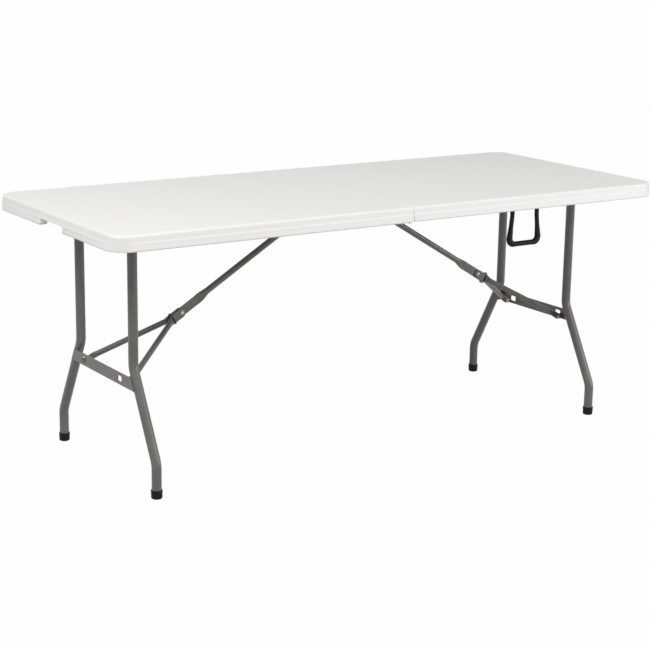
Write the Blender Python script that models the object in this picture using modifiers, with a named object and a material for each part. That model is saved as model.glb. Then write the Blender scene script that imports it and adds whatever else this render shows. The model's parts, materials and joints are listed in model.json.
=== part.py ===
# Event table that folds in half: moulded top, steel tube legs, folding stays and a carry handle.
# Metres, +Z up, +X along the table's length, the floor at Z = 0 and the origin under the middle of the top.

import math

import bmesh
import bpy
from mathutils import Matrix, Vector

# Overall size
LENGTH = 1.829
WIDTH = 0.761
HEIGHT = 0.7335

# Clearances
FIT = 0.0003  # between pieces that touch
PIN_PLAY = 0.0003  # between a pin and its hole
TURN_PLAY = 0.0004  # between faces that turn past each other
CUT_PAST = 0.004  # how far a cutter runs past a face

# Fineness of the shapes
WELD = 1e-6  # points nearer than this are one
FLAT_ANGLE = 0.001  # faces nearer than this to one plane are one, in radians
SHARP_ANGLE = math.radians(35)  # edges sharper than this stay sharp
ROUND_STEPS = 16  # sides of a turned piece
CORNER_STEPS = 8  # of a large rounded corner
SMALL_STEPS = 3  # of a small one
BEND_STEPS = 5  # of a bend in a tube
TUBE_SIDES = 4  # a curve's bevel resolution
WIRE_SIDES = 2
EDGE_STEPS = 2  # of a rounded edge
ROUND_SHARE = 0.98  # of half a section's thickness, so that a short flat is left
HEAD_TAPER = 0.72  # a head's outer face as a share of its foot

# Moulded top
LEFT_SKIRT = 0.0425
RIGHT_SKIRT = 0.0410
SKIRT_WALL = 0.022
PANEL = 0.012
TOP_CORNER = 0.065
EDGE_ROUND = 0.007
SEAM_GAP = 0.0010
SEAM_RIM_DEPTH = 0.022
SEAM_RIM_WALL = 0.012
NOTCH_WIDTH = 0.140
NOTCH_HEIGHT = 0.018
CHANNEL_WIDTH = 0.060
CHANNEL_DEPTH = 0.004

# Rails under the top
RAIL_WIDTH = 0.025
RAIL_HEIGHT = 0.0285
RAIL_SHEET = 0.002
RAIL_END = 0.014  # from the seam
RAIL_PAST_AXLE = 0.050

# Rail screws
SCREW_RADIUS = 0.002
SCREW_HEAD_RADIUS = 0.0045
SCREW_HEAD_HEIGHT = 0.0028
SCREW_DEPTH = 0.008  # into the panel
SCREW_PLACES = (0.120, 0.640)  # from the seam

# Leg sets
TUBE_RADIUS = 0.0135
AXLE_INSET = 0.1566  # from the end of the top
AXLE_CLEAR = 0.0038  # from the panel
AXLE_FLANGE = 0.0032
AXLE_STUD_RADIUS = 0.008
AXLE_STUD_PAST = 0.008  # past the rail's inner wall
LEG_SPREAD = 0.163  # from the middle to the upper leg
FOOT_SPREAD = 0.291
KNEE_HEIGHT = 0.330
ANKLE_HEIGHT = 0.095
LEG_BEND = 0.055
CAP_RADIUS = 0.0158
CAP_HEIGHT = 0.0245
CAP_FLOOR = 0.006
CAP_ROUND = 0.003

# Crossbar
CROSSBAR_HEIGHT = 0.289  # its middle, above the floor
CROSSBAR_DEPTH = 0.034
CROSSBAR_SHEET = 0.0025
SLOT_SPREAD = 0.111
SLOT_WIDTH = 0.024
SLOT_HEIGHT = 0.016
SLOT_ROUND = 0.003
EAR_SHEET = 0.0025
EAR_HEIGHT = 0.014
EAR_REACH = 0.009  # past the arm's pivot
EAR_ROUND = 0.003
ARM_SPREAD = 0.128
ARM_BELOW = 0.0075  # from the crossbar's middle down to the arm's pivot
ARM_PIN_RADIUS = 0.0035

# Stays
HANGER_PLACE = 0.049  # from the seam
BLADE_THICK = 0.0032
BLADE_WIDTH = 0.027
BLADE_LENGTH = 0.060  # from the middle joint towards the top
BLADE_TAIL = 0.036  # from the middle joint towards the crossbar
BLADE_TAPER = 0.028
BLADE_HOLE = 0.0022
BLADE_HOLE_PLACE = 0.050
LINK_RADIUS = 0.009
EYE_THICK = 0.008
EYE_RADIUS = 0.0095
ARM_RADIUS = 0.008
ARM_EYE_THICK = 0.0036
ARM_EYE_RADIUS = 0.009
ARM_FLAT = 0.016  # straight stretch at the crossbar
TIP_THICK = 0.003
TIP_WIDTH = 0.026
TIP_PAST = 0.012
TIP_FLAT = 0.036  # straight stretch below the middle joint
RIVET_RADIUS = 0.003
RIVET_HEAD_RADIUS = 0.0055
RIVET_HEAD_HEIGHT = 0.0022
RING_WIRE = 0.003
RING_HEIGHT = 0.037
RING_PLACE = 0.031  # from the middle joint towards the crossbar
HANGER_SHEET = 0.0025
HANGER_LENGTH = 0.022
HANGER_PIN_RADIUS = 0.004
PIN_HEAD_HEIGHT = 0.0018
PIN_HEAD_EXTRA = 0.002

# Centre hinges
HINGE_DROP = 0.0005  # from the deeper skirt to the hinge's axis
LEAF_SHEET = 0.0025
LEAF_LENGTH = 0.100
LEAF_ABOVE = 0.0165
LEAF_CLEAR = 0.0035  # from the axis up to the leaf's lower edge
LEAF_LOBE = 0.0065  # about the axis
LEAF_ROUND = 0.006
HINGE_PIN_RADIUS = 0.003

# Carry handle
HANDLE_PLACE = 0.4455  # from the seam
HANDLE_WIDTH = 0.092  # between the tops of its arms
HANDLE_STRAIGHT = 0.030  # of each arm, past its clip
HANDLE_SPLAY = 0.009  # of each arm, at the grip
HANDLE_DROP = 0.1125
HANDLE_ARM_RADIUS = 0.0055
HANDLE_GRIP_RADIUS = 0.0075
HANDLE_BEND = 0.016
HANDLE_EYE_RADIUS = 0.0070
HANDLE_EYE_LENGTH = 0.010
TRUNNION_RADIUS = 0.0035
HANDLE_CLEAR = 0.013  # from the rail to the handle's axis
CLIP_WALL = 0.005
CLIP_LENGTH = 0.010
CLIP_ROUND = 0.0015
HANDLE_HEIGHT_BELOW = 0.0117  # from the leg axle's level to the handle's axis

# Worked out from the sizes above
HALF_LENGTH = LENGTH / 2
HALF_WIDTH = WIDTH / 2
CEILING = HEIGHT - PANEL
AXLE_X = HALF_LENGTH - AXLE_INSET
AXLE_Z = CEILING - AXLE_CLEAR - TUBE_RADIUS
SLOT_DROP = AXLE_Z - CROSSBAR_HEIGHT
ARM_DROP = SLOT_DROP + ARM_BELOW
STAY_RUN = AXLE_X - HANGER_PLACE
STAY_LENGTH = math.hypot(STAY_RUN, ARM_DROP)
STAY_ANGLE = math.atan2(ARM_DROP, STAY_RUN)
LINK_LENGTH = (STAY_LENGTH + STAY_RUN - ARM_DROP) / 2
ARM_LENGTH = STAY_LENGTH - LINK_LENGTH
TIP_INNER = BLADE_THICK / 2 + RING_WIRE + 2 * TURN_PLAY
TIP_OUTER = TIP_INNER + TIP_THICK
SKIRT_INNER = HALF_WIDTH - SKIRT_WALL
HINGE_Z = HEIGHT - max(LEFT_SKIRT, RIGHT_SKIRT) - HINGE_DROP
RIGHT_LEAF_OUTER = SKIRT_INNER - PIN_HEAD_HEIGHT - 3 * FIT
RIGHT_RAIL_OUTER = RIGHT_LEAF_OUTER - LEAF_SHEET - FIT
LEFT_LEAF_OUTER = RIGHT_LEAF_OUTER - LEAF_SHEET - TURN_PLAY
LEFT_RAIL_OUTER = LEFT_LEAF_OUTER - LEAF_SHEET - FIT
HANDLE_Z = AXLE_Z - HANDLE_HEIGHT_BELOW

# Colours, roughness and metallic value of each kind of finish
WHITE_PLASTIC = ((0.84, 0.84, 0.84), 0.55, 0.0)
GREY_STEEL = ((0.14, 0.135, 0.12), 0.45, 0.3)
ZINC_STEEL = ((0.50, 0.50, 0.49), 0.35, 0.9)
BLACK_PLASTIC = ((0.012, 0.012, 0.012), 0.5, 0.0)
DARK_WIRE = ((0.03, 0.028, 0.026), 0.4, 0.6)

for old in list(bpy.data.objects):
    bpy.data.objects.remove(old, do_unlink=True)

PARTS = bpy.data.collections.new("event_table")
CUTTERS = bpy.data.collections.new("cutters")
for collection in (PARTS, CUTTERS):
    bpy.context.scene.collection.children.link(collection)


def paint(obj, finish):
    """Give an object its own Principled material."""
    colour, roughness, metallic = finish
    material = bpy.data.materials.new(obj.name)
    material.use_nodes = True
    shader = material.node_tree.nodes["Principled BSDF"]
    shader.inputs["Base Color"].default_value = (*colour, 1)
    shader.inputs["Roughness"].default_value = roughness
    shader.inputs["Metallic"].default_value = metallic
    obj.data.materials.clear()
    obj.data.materials.append(material)


def pivot(name, parent, place, turn=(0, 0, 0)):
    """An empty on a joint's axis, which carries the pieces that move together."""
    empty = bpy.data.objects.new(name, None)
    PARTS.objects.link(empty)
    empty.parent = parent
    empty.location = place
    empty.rotation_euler = turn
    return empty


def add_mesh(name, bm, collection):
    """An object from a bmesh, with its faces pointing out."""
    bmesh.ops.remove_doubles(bm, verts=bm.verts, dist=WELD)
    bmesh.ops.recalc_face_normals(bm, faces=bm.faces)
    mesh = bpy.data.meshes.new(name)
    bm.to_mesh(mesh)
    bm.free()
    obj = bpy.data.objects.new(name, mesh)
    collection.objects.link(obj)
    return obj


def settle(name, source, collection):
    """A welded mesh object in place of a curve or a modified object."""
    bpy.context.view_layer.update()
    graph = bpy.context.evaluated_depsgraph_get()
    mesh = bpy.data.meshes.new_from_object(source.evaluated_get(graph))
    bm = bmesh.new()
    bm.from_mesh(mesh)
    bmesh.ops.remove_doubles(bm, verts=bm.verts, dist=WELD)
    bmesh.ops.dissolve_limit(bm, angle_limit=FLAT_ANGLE, verts=bm.verts, edges=bm.edges)
    bpy.data.meshes.remove(mesh)
    bpy.data.objects.remove(source, do_unlink=True)
    return add_mesh(name, bm, collection)


def finish_piece(obj, parent, finish, smooth=True):
    """Hang a piece on its parent and give it its finish."""
    obj.parent = parent
    if smooth:
        obj.data.shade_smooth()
        obj.data.set_sharp_from_angle(angle=SHARP_ANGLE)
    paint(obj, finish)
    return obj


def arc(centre, radius, start, end, steps):
    """Points along an arc, angles in degrees."""
    points = []
    for step in range(steps + 1):
        angle = math.radians(start + (end - start) * step / steps)
        points.append((centre[0] + radius * math.cos(angle), centre[1] + radius * math.sin(angle)))
    return points


def circle(centre, radius, steps=ROUND_STEPS):
    """Points around a circle, without the first one again."""
    return arc(centre, radius, 0, 360 - 360 / steps, steps - 1)


def rounded_rectangle(low, high, radii, steps=CORNER_STEPS):
    """Outline from corner to corner; radii run from the lower left corner anticlockwise."""
    corners = ((low[0], low[1]), (high[0], low[1]), (high[0], high[1]), (low[0], high[1]))
    inward = ((1, 1), (-1, 1), (-1, -1), (1, -1))
    points = []
    for number, (corner, side, radius) in enumerate(zip(corners, inward, radii)):
        if radius == 0:
            points.append(corner)
            continue
        centre = (corner[0] + side[0] * radius, corner[1] + side[1] * radius)
        points += arc(centre, radius, 180 + 90 * number, 270 + 90 * number, steps)
    return points


# Turns that stand a flat outline up: outline (x, y) and thickness become the axes named
FLAT = Matrix.Identity(4)  # outline in X and Y, thickness in Z
ACROSS = Matrix(((1, 0, 0, 0), (0, 0, -1, 0), (0, 1, 0, 0), (0, 0, 0, 1)))  # outline in X and Z
ALONG = Matrix(((0, 0, 1, 0), (1, 0, 0, 0), (0, 1, 0, 0), (0, 0, 0, 1)))  # outline in Y and Z


def plate(name, outlines, low, high, turn, collection=PARTS, edge=0.0):
    """A flat outline with holes, between two levels of its thickness."""
    data = bpy.data.curves.new(name, "CURVE")
    data.dimensions = "2D"
    data.fill_mode = "BOTH"
    data.extrude = abs(high - low) / 2 - edge
    data.bevel_depth = edge
    data.bevel_resolution = EDGE_STEPS
    data.offset = -edge
    for outline in outlines:
        spline = data.splines.new("POLY")
        spline.points.add(len(outline) - 1)
        for point, place in zip(spline.points, outline):
            point.co = (*place, 0, 1)
        spline.use_cyclic_u = True
    curve = bpy.data.objects.new(name + "_outline", data)
    PARTS.objects.link(curve)
    obj = settle(name, curve, collection)
    middle = (low + high) / 2 if turn is not ACROSS else -(low + high) / 2
    obj.data.transform(turn @ Matrix.Translation((0, 0, middle)))
    return obj


def box(name, low, high, collection=PARTS):
    """A block between two corners."""
    bm = bmesh.new()
    size = Vector(high) - Vector(low)
    bmesh.ops.create_cube(bm, size=1)
    bmesh.ops.scale(bm, vec=size, verts=bm.verts)
    bmesh.ops.translate(bm, vec=Vector(low) + size / 2, verts=bm.verts)
    return add_mesh(name, bm, collection)


def rods(name, axis, runs, radius, sides=ROUND_STEPS):
    """A cutter of round rods along an axis; each run is the start point and the length."""
    bm = bmesh.new()
    turn = Vector((0, 0, 1)).rotation_difference(Vector(axis)).to_matrix().to_4x4()
    for start, length in runs:
        middle = Vector(start) + Vector(axis) * (length / 2)
        bmesh.ops.create_cone(
            bm,
            cap_ends=True,
            segments=sides,
            radius1=radius,
            radius2=radius,
            depth=length,
            matrix=Matrix.Translation(middle) @ turn,
        )
    return add_mesh(name, bm, CUTTERS)


def shape(obj, cutter, operation="DIFFERENCE"):
    """Cut a piece with a cutter that stands in the same frame, or join the two."""
    cutter.hide_render = True
    cutter.display_type = "WIRE"
    cutter.parent = obj
    modifier = obj.modifiers.new(cutter.name, "BOOLEAN")
    modifier.operation = operation
    modifier.object = cutter
    modifier.solver = "EXACT"


def turned(name, profile, axis, place, steps=ROUND_STEPS):
    """A turned piece: profile of (radius, height) from the top down, stood along an axis."""
    mesh = bpy.data.meshes.new(name)
    points = [(radius, 0, height) for radius, height in profile]
    mesh.from_pydata(points, [(n, n + 1) for n in range(len(points) - 1)], [])
    source = bpy.data.objects.new(name + "_profile", mesh)
    PARTS.objects.link(source)
    screw = source.modifiers.new("turn", "SCREW")
    screw.steps = steps
    screw.render_steps = steps
    screw.use_merge_vertices = True
    screw.merge_threshold = WELD
    obj = settle(name, source, PARTS)
    turn = Vector((0, 0, 1)).rotation_difference(Vector(axis)).to_matrix().to_4x4()
    obj.data.transform(Matrix.Translation(place) @ turn)
    return obj


def bent(points, radius, steps=BEND_STEPS):
    """A path through corner points, with each corner rounded by an arc."""
    corners = [Vector(point) for point in points]
    path = [corners[0]]
    for before, corner, after in zip(corners, corners[1:], corners[2:]):
        back = (before - corner).normalized()
        ahead = (after - corner).normalized()
        half = back.angle(ahead) / 2
        reach = radius / math.tan(half)
        centre = corner + (back + ahead).normalized() * (radius / math.sin(half))
        first = (corner + back * reach - centre).normalized()
        last = (corner + ahead * reach - centre).normalized()
        for step in range(steps + 1):
            path.append(centre + first.slerp(last, step / steps) * radius)
    return path + [corners[-1]]


def tube(name, path, radii, cyclic=False, sides=TUBE_SIDES):
    """A round bar along a path; radii give each point's own radius."""
    data = bpy.data.curves.new(name, "CURVE")
    data.dimensions = "3D"
    data.bevel_depth = 1.0
    data.bevel_resolution = sides
    data.use_fill_caps = not cyclic
    spline = data.splines.new("POLY")
    spline.points.add(len(path) - 1)
    for point, place, radius in zip(spline.points, path, radii):
        point.co = (*place, 1)
        point.radius = radius
    spline.use_cyclic_u = cyclic
    curve = bpy.data.objects.new(name + "_path", data)
    PARTS.objects.link(curve)
    return settle(name, curve, PARTS)


def flattened(name, stations):
    """A tube pressed flat in places: each station is its X, its Y, its width in Z and its thickness in Y."""
    bm = bmesh.new()
    rings = []
    for along, across, width, thick in stations:
        round_over = min(width, thick) / 2
        low = (across - thick / 2, -width / 2)
        high = (across + thick / 2, width / 2)
        section = rounded_rectangle(low, high, [round_over * ROUND_SHARE] * 4, SMALL_STEPS)
        rings.append([bm.verts.new((along, *point)) for point in section])
    for ring, following in zip(rings, rings[1:]):
        for number in range(len(ring)):
            next_one = (number + 1) % len(ring)
            bm.faces.new((ring[number], ring[next_one], following[next_one], following[number]))
    bm.faces.new(rings[0])
    bm.faces.new(rings[-1])
    return add_mesh(name, bm, PARTS)


def moulded_top(name, parent, skirt, rail_middle):
    """One half of the moulded top, outward along its parent's +X, cut from the whole top's outline."""
    low = (-HALF_LENGTH, -HALF_WIDTH)
    high = (HALF_LENGTH, HALF_WIDTH)
    outline = rounded_rectangle(low, high, [TOP_CORNER] * 4)
    obj = plate(name, [outline], HEIGHT - skirt, HEIGHT, FLAT, edge=EDGE_ROUND)
    bottom = HEIGHT - skirt - CUT_PAST
    far = HALF_LENGTH + CUT_PAST
    other_half = box(
        name + "_other_half",
        (-far, -HALF_WIDTH - CUT_PAST, bottom),
        (SEAM_GAP / 2, HALF_WIDTH + CUT_PAST, HEIGHT + CUT_PAST),
        CUTTERS,
    )
    shape(obj, other_half)
    inner_corner = TOP_CORNER - SKIRT_WALL
    recess_outline = rounded_rectangle(
        (SEAM_RIM_WALL, -SKIRT_INNER),
        (HALF_LENGTH - SKIRT_WALL, SKIRT_INNER),
        [0, inner_corner, inner_corner, 0],
    )
    shape(obj, plate(name + "_recess", [recess_outline], bottom, CEILING, FLAT, CUTTERS))
    seam_opening = box(
        name + "_seam_opening",
        (-CUT_PAST, -SKIRT_INNER, bottom),
        (SEAM_RIM_WALL + CUT_PAST, SKIRT_INNER, HEIGHT - SEAM_RIM_DEPTH),
        CUTTERS,
    )
    shape(obj, seam_opening)
    notch = box(
        name + "_end_notch",
        (HALF_LENGTH - SKIRT_WALL - CUT_PAST, -NOTCH_WIDTH / 2, bottom),
        (far, NOTCH_WIDTH / 2, HEIGHT - skirt + NOTCH_HEIGHT),
        CUTTERS,
    )
    shape(obj, notch)
    channel = box(
        name + "_stay_channel",
        (HANGER_PLACE - HANGER_LENGTH, -CHANNEL_WIDTH / 2, CEILING - CUT_PAST),
        (AXLE_X - TUBE_RADIUS, CHANNEL_WIDTH / 2, CEILING + CHANNEL_DEPTH),
        CUTTERS,
    )
    shape(obj, channel)
    runs = [
        ((place, side * rail_middle, CEILING - CUT_PAST), CUT_PAST + SCREW_DEPTH + FIT)
        for place in SCREW_PLACES
        for side in (-1, 1)
    ]
    shape(obj, rods(name + "_screw_holes", (0, 0, 1), runs, SCREW_RADIUS + PIN_PLAY))
    return finish_piece(obj, parent, WHITE_PLASTIC)


def rail(name, parent, side, outer):
    """A folded steel rail, open below, with a hole for the axle's stud and two for its screws."""
    top = CEILING - FIT
    foot = top - RAIL_HEIGHT
    inner = outer - RAIL_WIDTH
    section = [
        (side * inner, foot),
        (side * (inner + RAIL_SHEET), foot),
        (side * (inner + RAIL_SHEET), top - RAIL_SHEET),
        (side * (outer - RAIL_SHEET), top - RAIL_SHEET),
        (side * (outer - RAIL_SHEET), foot),
        (side * outer, foot),
        (side * outer, top),
        (side * inner, top),
    ]
    obj = plate(name, [section], RAIL_END, AXLE_X + RAIL_PAST_AXLE, ALONG)
    stud_start = (AXLE_X, side * (inner - CUT_PAST), AXLE_Z)
    stud_run = [(stud_start, CUT_PAST + RAIL_SHEET + CUT_PAST)]
    shape(obj, rods(name + "_stud_hole", (0, side, 0), stud_run, AXLE_STUD_RADIUS + TURN_PLAY))
    middle = side * (inner + outer) / 2
    under = top - RAIL_SHEET - CUT_PAST
    runs = [((place, middle, under), RAIL_SHEET + 2 * CUT_PAST) for place in SCREW_PLACES]
    shape(obj, rods(name + "_screw_holes", (0, 0, 1), runs, SCREW_RADIUS + PIN_PLAY))
    return finish_piece(obj, parent, GREY_STEEL)


def rail_screw(name, parent, place, across):
    """A screw through a rail's web, up into the panel."""
    under = CEILING - FIT - RAIL_SHEET - FIT
    profile = [
        (0, CEILING + SCREW_DEPTH),
        (SCREW_RADIUS, CEILING + SCREW_DEPTH),
        (SCREW_RADIUS, under),
        (SCREW_HEAD_RADIUS, under),
        (SCREW_HEAD_RADIUS * HEAD_TAPER, under - SCREW_HEAD_HEIGHT),
        (0, under - SCREW_HEAD_HEIGHT),
    ]
    return finish_piece(turned(name, profile, (0, 0, 1), (place, across, 0)), parent, ZINC_STEEL)


def headed_pin(name, parent, place, radius, half_length, finish=ZINC_STEEL):
    """A pin along Y with a head at each end; half_length runs to the inner face of a head."""
    head = radius + PIN_HEAD_EXTRA
    end = half_length + PIN_HEAD_HEIGHT
    profile = [
        (0, end),
        (head, end),
        (head, half_length),
        (radius, half_length),
        (radius, -half_length),
        (head, -half_length),
        (head, -end),
        (0, -end),
    ]
    return finish_piece(turned(name, profile, (0, 1, 0), place), parent, finish)


def hanger(name, parent):
    """A folded bracket in the stay channel, with an ear on each side of the upper link's eye."""
    inner = EYE_THICK / 2 + TURN_PLAY
    outer = inner + HANGER_SHEET
    top = CEILING + CHANNEL_DEPTH - FIT
    under = top - HANGER_SHEET
    foot = AXLE_Z - EYE_RADIUS
    section = [
        (-outer, foot),
        (-inner, foot),
        (-inner, under),
        (inner, under),
        (inner, foot),
        (outer, foot),
        (outer, top),
        (-outer, top),
    ]
    start = HANGER_PLACE - HANGER_LENGTH / 2
    obj = plate(name, [section], start, start + HANGER_LENGTH, ALONG)
    run = [((HANGER_PLACE, -outer - CUT_PAST, AXLE_Z), 2 * (outer + CUT_PAST))]
    shape(obj, rods(name + "_pin_hole", (0, 1, 0), run, HANGER_PIN_RADIUS + PIN_PLAY))
    finish_piece(obj, parent, GREY_STEEL)
    pin_place = (HANGER_PLACE, 0, AXLE_Z)
    headed_pin(name + "_pin", parent, pin_place, HANGER_PIN_RADIUS, outer + FIT)


def hinge_leaf(name, parent, side, outer):
    """A flat leaf from the rail's outer wall, with a lobe about the hinge's axis."""
    low = (-LEAF_LOBE, HINGE_Z + LEAF_CLEAR)
    high = (LEAF_LENGTH, HINGE_Z + LEAF_ABOVE)
    blade = rounded_rectangle(low, high, [0, LEAF_ROUND, LEAF_ROUND, LEAF_ROUND], SMALL_STEPS)
    meet = math.degrees(math.asin(LEAF_CLEAR / LEAF_LOBE))
    lobe = arc((0, HINGE_Z), LEAF_LOBE, 180, 360 + meet, CORNER_STEPS)
    outline = lobe + blade[1:]
    hole = circle((0, HINGE_Z), HINGE_PIN_RADIUS + PIN_PLAY)
    faces = sorted((side * outer, side * (outer - LEAF_SHEET)))
    obj = plate(name, [outline, hole], faces[0], faces[1], ACROSS)
    return finish_piece(obj, parent, GREY_STEEL)


def half_of_top(end, empty, skirt, rail_outer, leaf_outer):
    """Everything that is fixed to one half of the top."""
    turn = 1 if end == "right" else -1
    rail_middle = rail_outer - RAIL_WIDTH / 2
    moulded_top(end + "_top", empty, skirt, rail_middle)
    for edge, side in (("front", -turn), ("rear", turn)):
        rail(f"{end}_{edge}_rail", empty, side, rail_outer)
        hinge_leaf(f"{end}_{edge}_hinge_leaf", empty, side, leaf_outer)
        for number, place in enumerate(SCREW_PLACES, 1):
            rail_screw(f"{end}_{edge}_rail_screw_{number}", empty, place, side * rail_middle)
    hanger(end + "_stay_hanger", empty)


def hinge_pins(empty):
    """A headed pin through both leaves of each hinge."""
    low = LEFT_LEAF_OUTER - LEAF_SHEET - FIT
    high = RIGHT_LEAF_OUTER + FIT
    for edge, side in (("front", 1), ("rear", -1)):
        place = (0, side * (low + high) / 2, HINGE_Z)
        headed_pin(edge + "_hinge_pin", empty, place, HINGE_PIN_RADIUS, (high - low) / 2)


def axle(name, parent, half):
    ends = [(0, -half, 0), (0, half, 0)]
    return finish_piece(tube(name, ends, [TUBE_RADIUS] * 2), parent, GREY_STEEL)


def axle_bush(name, parent, side, start, rail_inner):
    """A flanged stud on the end of the axle, which turns in the rail's inner wall."""
    flange = start + FIT + AXLE_FLANGE
    end = rail_inner + RAIL_SHEET + AXLE_STUD_PAST
    profile = [
        (0, end),
        (AXLE_STUD_RADIUS, end),
        (AXLE_STUD_RADIUS, flange),
        (TUBE_RADIUS, flange),
        (TUBE_RADIUS, start + FIT),
        (0, start + FIT),
    ]
    return finish_piece(turned(name, profile, (0, side, 0), (0, 0, 0)), parent, BLACK_PLASTIC)


def leg(name, parent, side):
    """A leg tube: straight down from the axle, splayed below the knee, upright again at the foot."""
    corners = [
        (0, side * LEG_SPREAD, -TUBE_RADIUS - FIT),
        (0, side * LEG_SPREAD, KNEE_HEIGHT - AXLE_Z),
        (0, side * FOOT_SPREAD, ANKLE_HEIGHT - AXLE_Z),
        (0, side * FOOT_SPREAD, CAP_FLOOR + FIT - AXLE_Z),
    ]
    path = bent(corners, LEG_BEND)
    return finish_piece(tube(name, path, [TUBE_RADIUS] * len(path)), parent, GREY_STEEL)


def foot_cap(name, parent, side):
    """A moulded cup on the end of a leg."""
    bore = TUBE_RADIUS + FIT
    profile = [
        (0, CAP_FLOOR),
        (bore, CAP_FLOOR),
        (bore, CAP_HEIGHT),
        (CAP_RADIUS, CAP_HEIGHT),
        (CAP_RADIUS, CAP_ROUND),
        (CAP_RADIUS - CAP_ROUND, 0),
        (0, 0),
    ]
    obj = turned(name, profile, (0, 0, 1), (0, side * FOOT_SPREAD, -AXLE_Z))
    return finish_piece(obj, parent, BLACK_PLASTIC)


def leg_line(height):
    """How far from the middle a splayed leg is at a height."""
    return LEG_SPREAD + (FOOT_SPREAD - LEG_SPREAD) * (KNEE_HEIGHT - height) / (KNEE_HEIGHT - ANKLE_HEIGHT)


def crossbar(name, parent):
    """A flat strip on the outside of the legs, with two slots and a pair of folded ears for each arm."""
    top = CROSSBAR_HEIGHT + CROSSBAR_DEPTH / 2
    foot = CROSSBAR_HEIGHT - CROSSBAR_DEPTH / 2
    outline = [
        (-leg_line(foot), foot - AXLE_Z),
        (leg_line(foot), foot - AXLE_Z),
        (leg_line(top), top - AXLE_Z),
        (-leg_line(top), top - AXLE_Z),
    ]
    slots = [
        rounded_rectangle(
            (side * SLOT_SPREAD - SLOT_WIDTH / 2, -SLOT_DROP - SLOT_HEIGHT / 2),
            (side * SLOT_SPREAD + SLOT_WIDTH / 2, -SLOT_DROP + SLOT_HEIGHT / 2),
            [SLOT_ROUND] * 4,
            SMALL_STEPS,
        )
        for side in (-1, 1)
    ]
    face = TUBE_RADIUS + FIT
    obj = plate(name, [outline, *slots], face, face + CROSSBAR_SHEET, ALONG)
    ear_outline = rounded_rectangle(
        (-EAR_REACH, -ARM_DROP - EAR_HEIGHT / 2),
        (face + CROSSBAR_SHEET / 2, -ARM_DROP + EAR_HEIGHT / 2),
        [EAR_ROUND, 0, 0, EAR_ROUND],
        SMALL_STEPS,
    )
    hole = circle((0, -ARM_DROP), ARM_PIN_RADIUS + PIN_PLAY)
    near_face = ARM_EYE_THICK / 2 + TURN_PLAY
    for number, middle in enumerate((-ARM_SPREAD, ARM_SPREAD), 1):
        for letter, side in (("a", -1), ("b", 1)):
            faces = sorted((middle + side * near_face, middle + side * (near_face + EAR_SHEET)))
            ear_name = f"{name}_ear_{number}{letter}"
            ear = plate(ear_name, [ear_outline, hole], faces[0], faces[1], ACROSS, CUTTERS)
            shape(obj, ear, "UNION")
    return finish_piece(obj, parent, GREY_STEEL)


def leg_set(end, empty, rail_outer):
    """The pieces that fold with one pair of legs."""
    rail_inner = rail_outer - RAIL_WIDTH
    axle_half = rail_inner - TURN_PLAY - AXLE_FLANGE - FIT
    axle(end + "_leg_axle", empty, axle_half)
    crossbar(end + "_crossbar", empty)
    turn = 1 if end == "right" else -1
    pin_half = ARM_EYE_THICK / 2 + TURN_PLAY + EAR_SHEET + FIT
    for edge, side in (("near", -turn), ("far", turn)):
        leg(f"{end}_{edge}_leg", empty, side)
        foot_cap(f"{end}_{edge}_foot_cap", empty, side)
        axle_bush(f"{end}_{edge}_axle_bush", empty, side, axle_half, rail_inner)
        pin_place = (0, side * ARM_SPREAD, -ARM_DROP)
        headed_pin(f"{end}_{edge}_arm_pin", empty, pin_place, ARM_PIN_RADIUS, pin_half)


def upper_link(name, parent):
    """The upper part of a stay, from its eye at the hanger along +X to the blade at the middle joint."""
    blade_start = LINK_LENGTH - BLADE_LENGTH
    stations = [
        (-EYE_RADIUS, 0, EYE_RADIUS, EYE_THICK),
        (-EYE_RADIUS / 2, 0, EYE_RADIUS * math.sqrt(3), EYE_THICK),
        (0, 0, 2 * EYE_RADIUS, EYE_THICK),
        (2 * EYE_RADIUS, 0, 2 * EYE_RADIUS, EYE_THICK),
        (2 * EYE_RADIUS + BLADE_TAPER, 0, 2 * LINK_RADIUS, 2 * LINK_RADIUS),
        (blade_start - BLADE_TAPER, 0, 2 * LINK_RADIUS, 2 * LINK_RADIUS),
        (blade_start, 0, BLADE_WIDTH, BLADE_THICK),
        (LINK_LENGTH + BLADE_TAIL, 0, BLADE_WIDTH, BLADE_THICK),
    ]
    obj = flattened(name, stations)
    reach = LINK_RADIUS + CUT_PAST
    holes = (
        ("pin", 0, HANGER_PIN_RADIUS + TURN_PLAY),
        ("rivet", LINK_LENGTH, RIVET_RADIUS + TURN_PLAY),
        ("blade", LINK_LENGTH - BLADE_HOLE_PLACE, BLADE_HOLE),
    )
    for label, along, radius in holes:
        shape(obj, rods(f"{name}_{label}_hole", (0, 1, 0), [((along, -reach, 0), 2 * reach)], radius))
    return finish_piece(obj, parent, GREY_STEEL)


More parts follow.
